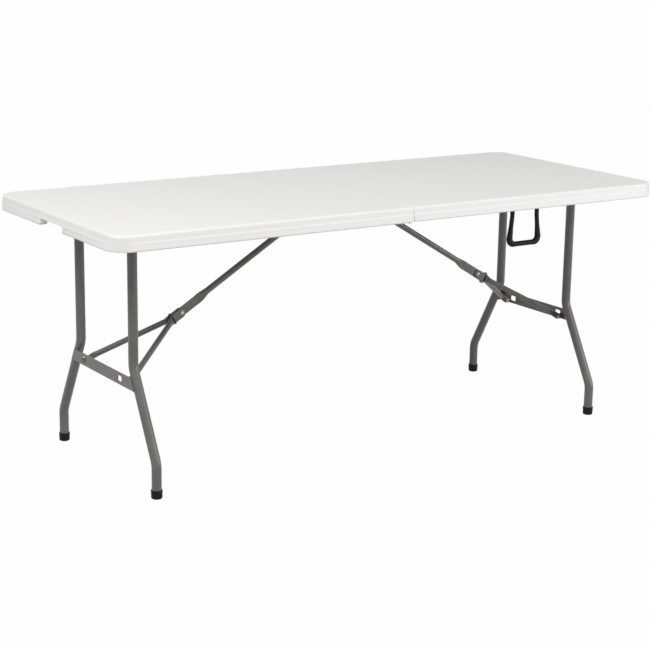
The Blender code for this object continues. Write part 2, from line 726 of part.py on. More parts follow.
def stay_arm(name, parent, side):
    """One side of the wishbone, from its eye at the crossbar along +X to its tip beside the blade."""
    tip_middle = (TIP_INNER + TIP_OUTER) / 2
    bend_start = ARM_FLAT
    bend_end = ARM_LENGTH - TIP_FLAT
    slant = math.atan2(ARM_SPREAD - tip_middle, bend_end - bend_start)
    across = 2 * ARM_RADIUS / math.cos(slant)
    swell = 2 * ARM_RADIUS

    def middle(along):
        share = (along - bend_start) / (bend_end - bend_start)
        return side * (ARM_SPREAD + (tip_middle - ARM_SPREAD) * share)

    end = ARM_LENGTH + TIP_PAST
    stations = [
        (-ARM_EYE_RADIUS, side * ARM_SPREAD, ARM_EYE_RADIUS, ARM_EYE_THICK),
        (-ARM_EYE_RADIUS / 2, side * ARM_SPREAD, ARM_EYE_RADIUS * math.sqrt(3), ARM_EYE_THICK),
        (0, side * ARM_SPREAD, 2 * ARM_EYE_RADIUS, ARM_EYE_THICK),
        (bend_start, side * ARM_SPREAD, 2 * ARM_EYE_RADIUS, ARM_EYE_THICK),
        (bend_start + swell, middle(bend_start + swell), 2 * ARM_RADIUS, across),
        (bend_end - swell, middle(bend_end - swell), 2 * ARM_RADIUS, across),
        (bend_end, side * tip_middle, TIP_WIDTH, TIP_THICK),
        (end - TIP_WIDTH / 4, side * tip_middle, TIP_WIDTH, TIP_THICK),
        (end, side * tip_middle, TIP_WIDTH / 2, TIP_THICK),
    ]
    obj = flattened(name, stations)
    pin_run = [((0, side * ARM_SPREAD - CUT_PAST, 0), 2 * CUT_PAST)]
    shape(obj, rods(name + "_pin_hole", (0, 1, 0), pin_run, ARM_PIN_RADIUS + TURN_PLAY))
    rivet_run = [((ARM_LENGTH, side * tip_middle - CUT_PAST, 0), 2 * CUT_PAST)]
    shape(obj, rods(name + "_rivet_hole", (0, 1, 0), rivet_run, RIVET_RADIUS + PIN_PLAY))
    return finish_piece(obj, parent, GREY_STEEL)


def joint_rivet(name, parent, side):
    """The rivet of one arm's tip; it stops short of the blade, because the middle joint is open there."""
    seat = TIP_OUTER + FIT
    profile = [
        (0, seat + RIVET_HEAD_HEIGHT),
        (RIVET_HEAD_RADIUS * HEAD_TAPER, seat + RIVET_HEAD_HEIGHT),
        (RIVET_HEAD_RADIUS, seat),
        (RIVET_RADIUS, seat),
        (RIVET_RADIUS, TIP_INNER),
        (0, TIP_INNER),
    ]
    obj = turned(name, profile, (0, side, 0), (ARM_LENGTH, 0, 0))
    return finish_piece(obj, parent, ZINC_STEEL)


def lock_ring(name, parent):
    """A closed loop of wire around the blade's tail."""
    wide = BLADE_THICK / 2 + TURN_PLAY + RING_WIRE / 2
    tall = RING_HEIGHT / 2 - RING_WIRE / 2
    outline = rounded_rectangle((-wide, -tall), (wide, tall), [wide * ROUND_SHARE] * 4, SMALL_STEPS)
    path = [(0, *point) for point in outline]
    obj = tube(name, path, [RING_WIRE / 2] * len(path), True, WIRE_SIDES)
    return finish_piece(obj, parent, DARK_WIRE)


def carry_handle(name, parent):
    """A bail with two arms and a grip, which turns on the trunnions at its ends."""
    half = HANDLE_WIDTH / 2
    trunnion = half + HANDLE_ARM_RADIUS + CLIP_LENGTH
    wide = half + HANDLE_SPLAY
    corners = [
        (-half, 0, 0),
        (-half, 0, -HANDLE_STRAIGHT),
        (-wide, 0, -HANDLE_DROP),
        (wide, 0, -HANDLE_DROP),
        (half, 0, -HANDLE_STRAIGHT),
        (half, 0, 0),
    ]
    path = bent(corners, HANDLE_BEND)
    radii = [
        HANDLE_ARM_RADIUS + (HANDLE_GRIP_RADIUS - HANDLE_ARM_RADIUS) * min(1, -point.z / HANDLE_DROP)
        for point in path
    ]
    obj = tube(name, path, radii)
    for label, side in (("left", -1), ("right", 1)):
        run = [((side * half, 0, 0), trunnion - half)]
        pin = rods(f"{name}_{label}_trunnion", (side, 0, 0), run, TRUNNION_RADIUS)
        shape(obj, pin, "UNION")
        run = [((side * (half - HANDLE_EYE_LENGTH / 2), 0, 0), HANDLE_EYE_LENGTH)]
        shape(obj, rods(f"{name}_{label}_eye", (side, 0, 0), run, HANDLE_EYE_RADIUS), "UNION")
    return finish_piece(obj, parent, BLACK_PLASTIC)


def handle_clip(name, parent, side, rail_inner, axis_y):
    """A moulded block on the rail's inner wall, which holds one trunnion of the handle."""
    start = HANDLE_WIDTH / 2 + HANDLE_ARM_RADIUS + TURN_PLAY
    ends = sorted((HANDLE_PLACE + side * start, HANDLE_PLACE + side * (start + CLIP_LENGTH)))
    reach = TRUNNION_RADIUS + TURN_PLAY + CLIP_WALL
    obj = box(
        name,
        (ends[0], -rail_inner + FIT, HANDLE_Z - reach),
        (ends[1], axis_y + reach, CEILING - FIT),
    )
    bevel = obj.modifiers.new("rounded", "BEVEL")
    bevel.width = CLIP_ROUND
    bevel.segments = EDGE_STEPS
    run = [((ends[0] - CUT_PAST, axis_y, HANDLE_Z), CLIP_LENGTH + 2 * CUT_PAST)]
    shape(obj, rods(name + "_hole", (1, 0, 0), run, TRUNNION_RADIUS + TURN_PLAY))
    return finish_piece(obj, parent, BLACK_PLASTIC)


def event_table():
    """The whole table, half by half."""
    root = pivot("event_table", None, (0, 0, 0))
    ends = (
        ("left", math.pi, LEFT_SKIRT, LEFT_RAIL_OUTER, LEFT_LEAF_OUTER),
        ("right", 0, RIGHT_SKIRT, RIGHT_RAIL_OUTER, RIGHT_LEAF_OUTER),
    )
    for end, turn, skirt, rail_outer, leaf_outer in ends:
        half = pivot(end + "_half", root, (0, 0, 0), (0, 0, turn))
        half_of_top(end, half, skirt, rail_outer, leaf_outer)
        legs = pivot(end + "_leg_fold", half, (AXLE_X, 0, AXLE_Z))
        leg_set(end, legs, rail_outer)
        link = pivot(end + "_link_fold", half, (HANGER_PLACE, 0, AXLE_Z), (0, STAY_ANGLE, 0))
        upper_link(end + "_upper_link", link)
        lock_ring(end + "_lock_ring", pivot(end + "_ring_slide", link, (LINK_LENGTH + RING_PLACE, 0, 0)))
        arms = pivot(end + "_arm_fold", legs, (0, 0, -ARM_DROP), (0, math.pi + STAY_ANGLE, 0))
        for edge, side in (("near", -1 if end == "right" else 1), ("far", 1 if end == "right" else -1)):
            stay_arm(f"{end}_{edge}_arm", arms, side)
            joint_rivet(f"{end}_{edge}_joint_rivet", arms, side)
        if end == "left":
            hinge_pins(half)
        else:
            rail_inner = rail_outer - RAIL_WIDTH
            axis_y = -rail_inner + HANDLE_CLEAR
            swing = pivot("handle_swing", half, (HANDLE_PLACE, axis_y, HANDLE_Z))
            carry_handle("carry_handle", swing)
            for label, side in (("left", -1), ("right", 1)):
                handle_clip(f"{label}_handle_clip", half, side, rail_inner, axis_y)


event_table()
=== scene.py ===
# Looks of an event table that folds in half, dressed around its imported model.
# Metres, +Z up, +X along the table's length. Each end is made as the right one and turned for the left.

import json
import math

import bmesh
import bpy
from mathutils import Matrix, Vector


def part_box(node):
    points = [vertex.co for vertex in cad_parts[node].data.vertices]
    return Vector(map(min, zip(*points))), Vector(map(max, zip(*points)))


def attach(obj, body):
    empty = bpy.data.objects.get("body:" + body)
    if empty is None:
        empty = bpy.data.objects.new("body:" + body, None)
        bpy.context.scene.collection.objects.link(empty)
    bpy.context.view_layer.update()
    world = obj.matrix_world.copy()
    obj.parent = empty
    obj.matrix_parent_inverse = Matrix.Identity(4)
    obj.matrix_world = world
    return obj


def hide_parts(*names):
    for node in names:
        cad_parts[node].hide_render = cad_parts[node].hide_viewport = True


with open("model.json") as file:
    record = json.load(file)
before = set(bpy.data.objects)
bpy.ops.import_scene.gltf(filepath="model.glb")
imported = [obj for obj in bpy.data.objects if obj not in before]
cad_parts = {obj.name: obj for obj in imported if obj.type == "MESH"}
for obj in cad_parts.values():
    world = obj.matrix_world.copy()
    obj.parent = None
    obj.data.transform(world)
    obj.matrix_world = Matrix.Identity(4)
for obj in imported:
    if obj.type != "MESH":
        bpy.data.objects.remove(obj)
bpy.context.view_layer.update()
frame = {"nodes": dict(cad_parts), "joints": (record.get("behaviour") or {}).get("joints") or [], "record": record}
NODES = frame["nodes"]
JOINTS = {joint["name"]: joint for joint in frame["joints"]}

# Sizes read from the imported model
TOP_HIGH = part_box("right_top")[1]
HALF_LENGTH, HALF_WIDTH, HEIGHT = TOP_HIGH
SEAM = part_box("right_top")[0].x
SKIRTS = {end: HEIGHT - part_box(end + "_top")[0].z for end in ("left", "right")}
AXLE_X, _, AXLE_Z = JOINTS["right_leg_fold"]["pos_m"]
ARM_Z = JOINTS["right_arm_fold"]["pos_m"][2]
HANGER_X = JOINTS["right_link_fold"]["pos_m"][0]
HANDLE_AXIS = Vector(JOINTS["handle_swing"]["pos_m"])
STAY_RISE = JOINTS["right_ring_slide"]["axis"]
STAY_ANGLE = math.atan2(STAY_RISE[2], -STAY_RISE[0])
TUBE_RADIUS = (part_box("right_leg_axle")[1].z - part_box("right_leg_axle")[0].z) / 2
CROSSBAR_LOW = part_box("right_crossbar")[0].z
CROSSBAR_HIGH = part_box("right_crossbar")[1].z
CAP_RADIUS = (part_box("right_near_foot_cap")[1].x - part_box("right_near_foot_cap")[0].x) / 2
CAP_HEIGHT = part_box("right_near_foot_cap")[1].z
FOOT_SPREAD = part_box("right_far_foot_cap")[1].y - CAP_RADIUS
RING_MIDDLE = sum(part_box("right_lock_ring"), Vector()) / 2
HANDLE_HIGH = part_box("carry_handle")[1]
HANDLE_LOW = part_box("carry_handle")[0]

# Moulded top
SKIRT_WALL = 0.022
TOP_CORNER = 0.065  # at the foot of the skirt
CORNER_TIGHTEN = 2.0  # the corner's further loss of radius up the skirt, as a multiple of its inset
SEAM_CORNER = 0.003
TOP_ROUND = 0.0070  # of the edge around the top
SEAM_ROUND = 0.0010  # of the edge along the seam
UPPER_INSET = 0.0052  # of the skirt's upper band, where the rounded edge ends
LEDGE_INSET = 0.0037  # at the foot of the upper band
LEDGE_DEPTH = 0.0165  # from the top down to there
BAND_INSET = 0.0021  # at the head of the lower band, which runs out to the outline
BAND_DEPTH = 0.0245
FOOT_ROUND = 0.0030
SEAM_FOOT_ROUND = {"left": 0.010, "right": 0.005}
TOP_SKIN = 0.0042
SEAM_RIM_WALL = 0.012
SEAM_RIM_DEPTH = 0.022
NOTCH_WIDTH = 0.140
NOTCH_HEIGHT = 0.018
NOTCH_ROUND = 0.005  # of its upper corners
NOTCH_FLARE = 0.008  # of its lower ones
NOTCH_STEPS = 6
PANEL = 0.012
EDGE_BEVEL = 0.0012
CUT_PAST = 0.010  # of a cutter, past the face that it opens
CUT_LAP = 0.004

# Dimpled underside
DIMPLE_PITCH = 0.044
DIMPLE_ROW = 0.038
DIMPLE_RADIUS = 0.0145
DIMPLE_DEPTH = 0.0050
DIMPLE_FIELD = 0.285  # half the width that has dimples
FIELD_EDGE = 0.004  # over which the dimples fade out
FIELD_FROM_SEAM = 0.030
FIELD_FROM_END = 0.060
CHANNEL_HALF = 0.030
CHANNEL_DEPTH = 0.004
CHANNEL_SLOPE = 0.006
CHANNEL_MARGIN = 0.008  # from the channel to the dimples
CHANNEL_FROM_SEAM = 0.036
CHANNEL_FROM_AXLE = 0.020
CHANNEL_RAMP = 0.008
GRID_STEP = 0.0052
SKIN_LAP = 0.001  # of the lower skin into the skirt's wall
SKIN_GAP = 0.0002  # between the upper and the lower skin

# Leg tubes
LEG_SPREAD = 0.163
KNEE_Z = 0.330
ANKLE_Z = 0.095
LEG_BEND = 0.055
TUBE_SIDES = 32
COPE_SINK = 0.0004  # of a leg's coped end into the axle
AXLE_SOFT = 0.0012
WELD_SINK = 0.0005
WELD_RADIUS = 0.0017
WELD_SPACING = 0.0011  # between the points of a bead
WELD_RIPPLE = 0.16
WELD_START = 0.002  # inward from the leg's middle
WELD_LENGTH = 0.012
SADDLE_STEPS = 40
CAP_FLOOR = 0.006
CAP_ROUND = 0.0042
CAP_PLAY = 0.0003
CAP_LIP = 0.0008
CAP_TAPER = 0.0006
CAP_COLLAR = 0.008  # from the lip down to where the taper starts

# Stays
LINK_RADIUS = 0.009
BLADE_WIDTH = 0.027
BLADE_THICK = 0.0032
BLADE_LENGTH = 0.060
BLADE_TAIL = 0.036
BLADE_TAPER = 0.040
BLADE_HOLE = 0.0012
BLADE_HOLE_PLACE = 0.050
BLADE_CREASE = 0.010
BLADE_END_ROUND = 0.006
TUBE_LIFT = 0.0022  # of the tube's middle above the blade's
EYE_RADIUS = 0.0095
EYE_THICK = 0.0080
PIN_HOLE = 0.0044
HOLE_REACH = 0.020
PRESSED = 5.0  # how much squarer a pressed section is than a round one
LOFT_STEP = 0.003
LEAST_WIDTH = 0.0008
ARM_RADIUS = 0.008
ARM_SPREAD = 0.128
ARM_EYE_RADIUS = 0.009
ARM_EYE_THICK = 0.0036
ARM_FLAT = 0.020
ARM_FLAT_SOFT = 0.004  # of the flat ends, where the taper starts
ARM_TAPER = 0.022
TIP_INNER = 0.0054
TIP_THICK = 0.0030
TIP_WIDTH = 0.026
TIP_PAST = 0.012
TIP_FLAT = 0.036
TIP_FLAT_SOFT = 0.006
TIP_JOG_START = 0.0045  # past the middle joint, where a tip turns in to the blade
TIP_JOG_RUN = 0.0065
TIP_JOG_PLAY = 0.0002
TIP_JOG_THIN = 0.75  # of a tip's thickness that is lost where it lies on the blade
ARM_BEND = 0.045
RING_WIRE = 0.0042
RING_HALF_WIDTH = 0.0106
RING_HALF_HEIGHT = 0.0162
RING_SQUARE = 0.75  # an oval at 1, squarer below
RING_STEPS = 48
PIN_HEAD = 0.0018
SCREW_HEAD = 0.0028

# Carry handle
HANDLE_ARM = (0.0062, 0.0052)  # half-sizes along and across
HANDLE_GRIP = 0.0075
HANDLE_CORNER = 0.0028  # how much more it swells at the lower corners
HANDLE_SPLAY = 0.009
HANDLE_STRAIGHT = 0.030  # of each arm, past its clip
HANDLE_BEND = 0.017
GRIP_START = 0.45  # where the arms begin to swell, as a share of the drop
HANDLE_BOSS = 0.0070
HANDLE_BOSS_LENGTH = 0.010
TRUNNION = 0.0035
HANDLE_CLIP = 0.0155  # from the arm's middle to the trunnion's end
ARM_SQUARE = 3.2  # round at 2, squarer above
GRIP_SQUARE = 2.2
BOSS_SOFT = 0.0010

# The photograph's viewpoint
CAMERA_PLACE = (-2.7075, -4.0559, 1.5328)
YAW, PITCH, ROLL = 0.5816, 0.2443, 0.0157
FOCAL_SHARE = 2.5856  # of the picture's width

# Studio
LAMPS = {
    "key": {"place": (-3.4, -1.5, 4.2), "size": 2.2, "watts": 152},
    "front": {"place": (-0.2, -5.4, 3.4), "size": 1.2, "watts": 10},
    "fill": {"place": (2.9, -4.6, 2.8), "size": 1.0, "watts": 74},
    "side": {"place": (4.2, -3.4, 1.0), "size": 0.8, "watts": 52},
}
LAMP_AIM = (0, 0, 0.5)
WORLD_LIGHT = 0.32
FLOOR_HALF = 45.0
FLOOR_DROP = 0.0006
FLOOR_GREY = 0.55
FLOOR_WHITE = 0.985  # the share that the eye sees as white; the rest holds the shadow

STAY_RUN = AXLE_X - HANGER_X
ARM_DROP = AXLE_Z - ARM_Z
STAY_LENGTH = math.hypot(STAY_RUN, ARM_DROP)
LINK_LENGTH = (STAY_LENGTH + STAY_RUN - ARM_DROP) / 2
ARM_LENGTH = STAY_LENGTH - LINK_LENGTH

TURNS = {"right": Matrix.Identity(4), "left": Matrix.Rotation(math.pi, 4, "Z")}
SIDES = {("right", "near"): -1, ("right", "far"): 1, ("left", "near"): 1, ("left", "far"): -1}
ENDS = ("left", "right")
EDGES = ("near", "far")


class Wire:
    """A socket of a node tree; arithmetic on it adds Math nodes."""

    def __init__(self, tree, socket):
        self.tree = tree
        self.socket = socket

    def maths(self, operation, *values):
        node = self.tree.nodes.new("ShaderNodeMath")
        node.operation = operation
        for socket, value in zip(node.inputs, values):
            if isinstance(value, Wire):
                self.tree.links.new(value.socket, socket)
            else:
                socket.default_value = value
        return Wire(self.tree, node.outputs[0])

    def __add__(self, other):
        return self.maths("ADD", self, other)

    __radd__ = __add__

    def __sub__(self, other):
        return self.maths("SUBTRACT", self, other)

    def __rsub__(self, other):
        return self.maths("SUBTRACT", other, self)

    def __mul__(self, other):
        return self.maths("MULTIPLY", self, other)

    __rmul__ = __mul__

    def __truediv__(self, other):
        return self.maths("DIVIDE", self, other)

    def __abs__(self):
        return self.maths("ABSOLUTE", self)

    def sine(self):
        return self.maths("SINE", self)

    def fraction(self):
        return self.maths("FRACT", self)

    def floor(self):
        return self.maths("FLOOR", self)

    def root(self):
        return self.maths("SQRT", self)

    def clamped(self):
        """Held between 0 and 1."""
        return self.maths("MINIMUM", self.maths("MAXIMUM", self, 0.0), 1.0)

    def rise(self, start, end):
        """0 before start and 1 after end, smooth between them."""
        share = ((self - start) / (end - start)).clamped()
        return share * share * (3.0 - 2.0 * share)


class Board:
    """A node tree that takes its nodes by one method."""

    def __init__(self, tree):
        self.tree = tree

    def add(self, kind, settings=None, inputs=None, output=0):
        """A node of this kind; its settings are set before its sockets. Gives one of its outputs."""
        node = self.tree.nodes.new(kind)
        for name, value in (settings or {}).items():
            setattr(node, name, value)
        for name, value in (inputs or {}).items():
            self.feed(self.pick(node.inputs, name), value)
        return Wire(self.tree, self.pick(node.outputs, output))

    def feed(self, socket, value):
        """Link a wire to a socket, or set the socket's own value."""
        if isinstance(value, Wire):
            self.tree.links.new(value.socket, socket)
        else:
            socket.default_value = value

    @staticmethod
    def pick(sockets, name):
        """A socket by its number, its identifier or its name."""
        matching = [socket for socket in sockets if socket.identifier == name]
        return matching[0] if matching else sockets[name]


class Finish(Board):
    """A Principled material whose patterns lie on Object coordinates."""

    def __init__(self, name):
        self.material = bpy.data.materials.new(name)
        self.material.use_nodes = True
        super().__init__(self.material.node_tree)
        self.shader = self.tree.nodes["Principled BSDF"]
        self.place = self.add("ShaderNodeTexCoord", output="Object")

    def noise(self, scale, detail=2.0, roughness=0.5, stretch=(1, 1, 1)):
        place = self.add("ShaderNodeMapping", None, {"Vector": self.place, "Scale": stretch})
        sizes = {"Vector": place, "Scale": scale, "Detail": detail, "Roughness": roughness}
        return self.add("ShaderNodeTexNoise", None, sizes)

    def cells(self, scale):
        return self.add("ShaderNodeTexVoronoi", None, {"Vector": self.place, "Scale": scale})

    def axis(self, letter):
        return self.add("ShaderNodeSeparateXYZ", None, {"Vector": self.place}, letter)

    def blend(self, share, first, second):
        inputs = {"Factor_Float": share, "A_Color": first, "B_Color": second}
        return self.add("ShaderNodeMix", {"data_type": "RGBA"}, inputs, "Result_Color")

    def bump(self, height, distance, strength=1.0):
        inputs = {"Height": height, "Distance": distance, "Strength": strength}
        return self.add("ShaderNodeBump", None, inputs)

    def give(self, name, value):
        self.feed(self.shader.inputs[name], value)


def grey(level, warm=0.0):
    """A near-grey colour from its level; warm takes some blue away."""
    return (level * (1 + warm / 2), level, level * (1 - warm), 1.0)


def moulded_white():
    """Blow-moulded white plastic with a fine pebble grain, faint scuffs and painted shade that greys the skirt's
    down-turned foot.
    """
    finish = Finish("moulded_white")
    pebble = finish.cells(520.0)
    fine = finish.noise(900.0, 3.0)
    scuff = finish.noise(34.0, 5.0, 0.6, (0.25, 1.6, 1.0)).rise(0.63, 0.74)
    foot = HEIGHT - max(SKIRTS.values())
    # painted shade: the lowest few millimetres of the skirt, its down-turned foot, are greyed as if in shadow
    low = 1.0 - finish.axis("Z").rise(foot, foot + 2 * FOOT_ROUND)
    base = finish.blend(fine, grey(0.855, 0.01), grey(0.890, 0.01))
    scuffed = finish.blend(scuff * 0.08, base, grey(0.74, 0.02))
    finish.give("Base Color", finish.blend(low * 0.30, scuffed, grey(0.55, 0.03)))
    finish.give("Roughness", 0.46 + 0.10 * fine + 0.10 * scuff)
    finish.give("Normal", finish.bump(pebble * 0.6 + fine * 0.4, 0.00016, 0.55))
    finish.give("Specular IOR Level", 0.42)
    return finish.material


def powder_grey(name, level, warm):
    """Grey powder coat over steel: orange peel, specks and rubbed, lighter patches."""
    finish = Finish(name)
    peel = finish.noise(620.0, 2.0)
    specks = finish.noise(1500.0, 1.0).rise(0.60, 0.70)
    patch = finish.noise(14.0, 4.0)
    rubbed = finish.noise(46.0, 6.0, 0.65, (1.0, 1.0, 0.35)).rise(0.62, 0.76)
    base = finish.blend(patch.rise(0.3, 0.7), grey(level * 0.92, warm), grey(level * 1.08, warm))
    speckled = finish.blend(specks * 0.12, base, grey(level * 1.4, warm * 0.6))
    finish.give("Base Color", finish.blend(rubbed * 0.25, speckled, grey(level * 1.7, warm * 0.5)))
    finish.give("Roughness", 0.27 + 0.08 * peel + 0.07 * patch - 0.04 * rubbed)
    finish.give("Metallic", 0.04 + 0.16 * rubbed)
    finish.give("Specular IOR Level", 0.50)
    finish.give("Normal", finish.bump(peel, 0.00005, 0.5))
    return finish.material


def zinc_plate():
    """Bright zinc on pressed steel, with a soft bloom."""
    finish = Finish("zinc_plate")
    bloom = finish.noise(240.0, 3.0)
    streak = finish.noise(900.0, 2.0, 0.5, (1.0, 0.1, 1.0))
    dull = finish.blend(bloom.rise(0.3, 0.7), grey(0.30, 0.02), grey(0.46, 0.02))
    finish.give("Base Color", dull)
    finish.give("Roughness", 0.26 + 0.18 * bloom + 0.06 * streak)
    finish.give("Metallic", 0.92)
    finish.give("Normal", finish.bump(streak, 0.00005, 0.4))
    return finish.material


def black_mould(name, level):
    """Black moulded plastic with spark-eroded grain and dusty highs."""
    finish = Finish(name)
    grain = finish.noise(1100.0, 3.0)
    dust = finish.noise(60.0, 5.0, 0.6).rise(0.55, 0.75)
    finish.give("Base Color", finish.blend(dust * 0.3, grey(level), grey(level * 2.2, 0.05)))
    finish.give("Roughness", 0.48 + 0.16 * grain + 0.10 * dust)
    finish.give("Specular IOR Level", 0.18)
    finish.give("Normal", finish.bump(grain, 0.00010, 0.5))
    return finish.material


def dark_wire():
    """Blackened wire, worn brighter where it slides."""
    finish = Finish("dark_wire")
    worn = finish.noise(160.0, 4.0).rise(0.52, 0.72)
    fine = finish.noise(1400.0, 2.0)
    finish.give("Base Color", finish.blend(worn * 0.6, grey(0.020, 0.08), grey(0.075, 0.06)))
    finish.give("Roughness", 0.34 + 0.18 * fine)
    finish.give("Metallic", 0.35 + 0.3 * worn)
    finish.give("Normal", finish.bump(fine, 0.00006, 0.4))
    return finish.material


FINISHES = {
    "white_plastic": moulded_white(),
    "grey_steel": powder_grey("powder_grey", 0.119, 0.10),
    "zinc_steel": zinc_plate(),
    "black_plastic": black_mould("black_mould", 0.0030),
    "dark_wire": dark_wire(),
}


def smoothed(mesh, angle=38):
    mesh.shade_smooth()
    mesh.set_sharp_from_angle(angle=math.radians(angle))


def hand_over(obj, slot, body, *nodes):
    """Give a finished piece its finish, its body and the nodes that it stands for."""
    smoothed(obj.data)
    obj.data.materials.clear()
    obj.data.materials.append(FINISHES[slot])
    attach(obj, body)
    if nodes:
        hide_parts(*nodes)
    return obj


def mesh_object(name, bm, turn=Matrix.Identity(4)):
    """An object at the origin from a bmesh, turned into place, with its faces pointing out."""
    bmesh.ops.remove_doubles(bm, verts=bm.verts, dist=1e-6)
    bmesh.ops.recalc_face_normals(bm, faces=bm.faces)
    bmesh.ops.transform(bm, matrix=turn, verts=bm.verts)
    mesh = bpy.data.meshes.new(name)
    bm.to_mesh(mesh)
    bm.free()
    obj = bpy.data.objects.new(name, mesh)
    bpy.context.scene.collection.objects.link(obj)
    return obj


def made_plain(obj):
    """Bake an object's modifiers into a plain mesh and remove them."""
    bpy.context.view_layer.update()
    graph = bpy.context.evaluated_depsgraph_get()
    mesh = bpy.data.meshes.new_from_object(obj.evaluated_get(graph))
    name = obj.name
    collected = bpy.data.objects.new(name + "_plain", mesh)
    bpy.context.scene.collection.objects.link(collected)
    bpy.data.objects.remove(obj, do_unlink=True)
    collected.name = name
    mesh.name = name
    return collected


def lofted(bm, rings, closed=False):
    """Quads between rings of points, with the ends filled."""
    loops = [[bm.verts.new(point) for point in ring] for ring in rings]
    pairs = list(zip(loops, loops[1:]))
    if closed:
        pairs.append((loops[-1], loops[0]))
    for ring, following in pairs:
        for number in range(len(ring)):
            after = (number + 1) % len(ring)
            bm.faces.new((ring[number], ring[after], following[after], following[number]))
    if not closed:
        bm.faces.new(loops[0])
        bm.faces.new(loops[-1])
    return bm


def stepped(path, step=LOFT_STEP):
    """A path with its long stretches cut into even steps."""
    places = []
    for first, second in zip(path, path[1:]):
        pieces = max(1, round((second - first).length / step))
        places += [first.lerp(second, number / pieces) for number in range(pieces)]
    return places + [path[-1]]


def bent(points, radius, steps=12):
    """A path through corner points, with each corner rounded by an arc."""
    corners = [Vector(point) for point in points]
    path = [corners[0]]
    for before, corner, after in zip(corners, corners[1:], corners[2:]):
        back = (before - corner).normalized()
        ahead = (after - corner).normalized()
        half = back.angle(ahead) / 2
        reach = radius / math.tan(half)
        centre = corner + (back + ahead).normalized() * (radius / math.sin(half))
        first = (corner + back * reach - centre).normalized()
        last = (corner + ahead * reach - centre).normalized()
        for step in range(steps + 1):
            path.append(centre + first.slerp(last, step / steps) * radius)
    return path + [corners[-1]]


def tangents(path, closed=False):
    count = len(path)
    found = []
    for number in range(count):
        before = path[number - 1] if closed else path[max(0, number - 1)]
        after = path[(number + 1) % count] if closed else path[min(count - 1, number + 1)]
        found.append((after - before).normalized())
    return found


def swept(path, normal, section, closed=False):
    """Rings of a section along a path in a plane; section gives (in-plane, out-of-plane) offsets."""
    normal = Vector(normal).normalized()
    rings = []
    for number, (point, along) in enumerate(zip(path, tangents(path, closed))):
        inward = normal.cross(along).normalized()
        rings.append([point + inward * u + normal * v for u, v in section(number)])
    return rings


def round_section(radius, sides=28):
    angles = [2 * math.pi * number / sides for number in range(sides)]
    return [(radius * math.cos(angle), radius * math.sin(angle)) for angle in angles]


def pressed_section(thick, width, power, sides=36):
    """From a round section at power 2 towards a flat strip; offsets across and along the width."""
    points = []
    for number in range(sides):
        angle = 2 * math.pi * (number + 0.5) / sides
        along = math.cos(angle)
        across = (1 - abs(along) ** power) ** (1 / power) * (1 if math.sin(angle) > 0 else -1)
        points.append((thick / 2 * across, width / 2 * along))
    return points


def smooth_step(share):
    share = min(1.0, max(0.0, share))
    return share * share * (3 - 2 * share)


def lathed(name, profile, matrix, steps=40):
    """A turned solid from (radius, height) points, stood by a matrix."""
    bm = bmesh.new()
    rings = []
    for radius, height in profile:
        circle = round_section(max(radius, 1e-5), steps)
        rings.append([Vector((u, v, height)) for u, v in circle])
    lofted(bm, rings)
    return mesh_object(name, bm, matrix)


def arc(centre, radius, start, end, steps):
    found = []
    for step in range(steps + 1):
        angle = math.radians(start + (end - start) * step / steps)
        found.append((centre[0] + radius * math.cos(angle), centre[1] + radius * math.sin(angle)))
    return found


def rounded_rectangle(low, high, radii, steps=14):
    """Outline from the lower left corner anticlockwise, always with the same number of points."""
    corners = ((low[0], low[1]), (high[0], low[1]), (high[0], high[1]), (low[0], high[1]))
    inward = ((1, 1), (-1, 1), (-1, -1), (1, -1))
    points = []
    for number, (corner, side, radius) in enumerate(zip(corners, inward, radii)):
        centre = (corner[0] + side[0] * radius, corner[1] + side[1] * radius)
        points += arc(centre, radius, 180 + 90 * number, 270 + 90 * number, steps)
    return points


def block(low, high):
    """A bmesh block between two corners."""
    bm = bmesh.new()
    size = Vector(high) - Vector(low)
    bmesh.ops.create_cube(bm, size=1)
    bmesh.ops.scale(bm, vec=size, verts=bm.verts)
    bmesh.ops.translate(bm, vec=Vector(low) + size / 2, verts=bm.verts)
    return bm


def prism(outline, low, high):
    """A bmesh solid between two heights of one outline."""
    return lofted(bmesh.new(), [[Vector((*point, height)) for point in outline] for height in (low, high)])


def carve(obj, cutters, operation="DIFFERENCE"):
    """Cut a piece by cutters, which are then removed."""
    for number, cutter in enumerate(cutters):
        modifier = obj.modifiers.new(f"carve_{number}", "BOOLEAN")
        modifier.operation = operation
        modifier.object = cutter
        modifier.solver = "EXACT"
    plain = made_plain(obj)
    for cutter in cutters:
        bpy.data.objects.remove(cutter, do_unlink=True)
    return plain


def skirt_levels(end, skirt):
    """The skirt's profile from the top down: how far in from the outline, and the height."""
    foot = HEIGHT - skirt
    levels = arc((UPPER_INSET + TOP_ROUND, HEIGHT - TOP_ROUND), TOP_ROUND, 90, 180, 10)
    for step in range(9):
        share = step / 8
        inset = LEDGE_INSET + (BAND_INSET - LEDGE_INSET) * smooth_step(share)
        levels.append((inset, HEIGHT - LEDGE_DEPTH - (BAND_DEPTH - LEDGE_DEPTH) * share))
    seam_round = SEAM_FOOT_ROUND[end]
    band_foot = foot + FOOT_ROUND
    for step in range(7):
        height = foot + seam_round - (seam_round - FOOT_ROUND) * step / 7
        share = (height - band_foot) / (HEIGHT - BAND_DEPTH - band_foot)
        levels.append((BAND_INSET * share, height))
    return levels + arc((FOOT_ROUND, band_foot), FOOT_ROUND, 180, 270, 7)


def seam_inset(end, skirt, height):
    """How far the seam's face stands back at a height, for its rounded upper and lower edges."""
    over = height - (HEIGHT - SEAM_ROUND)
    if over > 0:
        return SEAM_ROUND - math.sqrt(max(0.0, SEAM_ROUND**2 - over**2))
    radius = SEAM_FOOT_ROUND[end]
    under = (HEIGHT - skirt + radius) - height
    if under > 0:
        return radius - math.sqrt(max(0.0, radius**2 - under**2))
    return 0.0


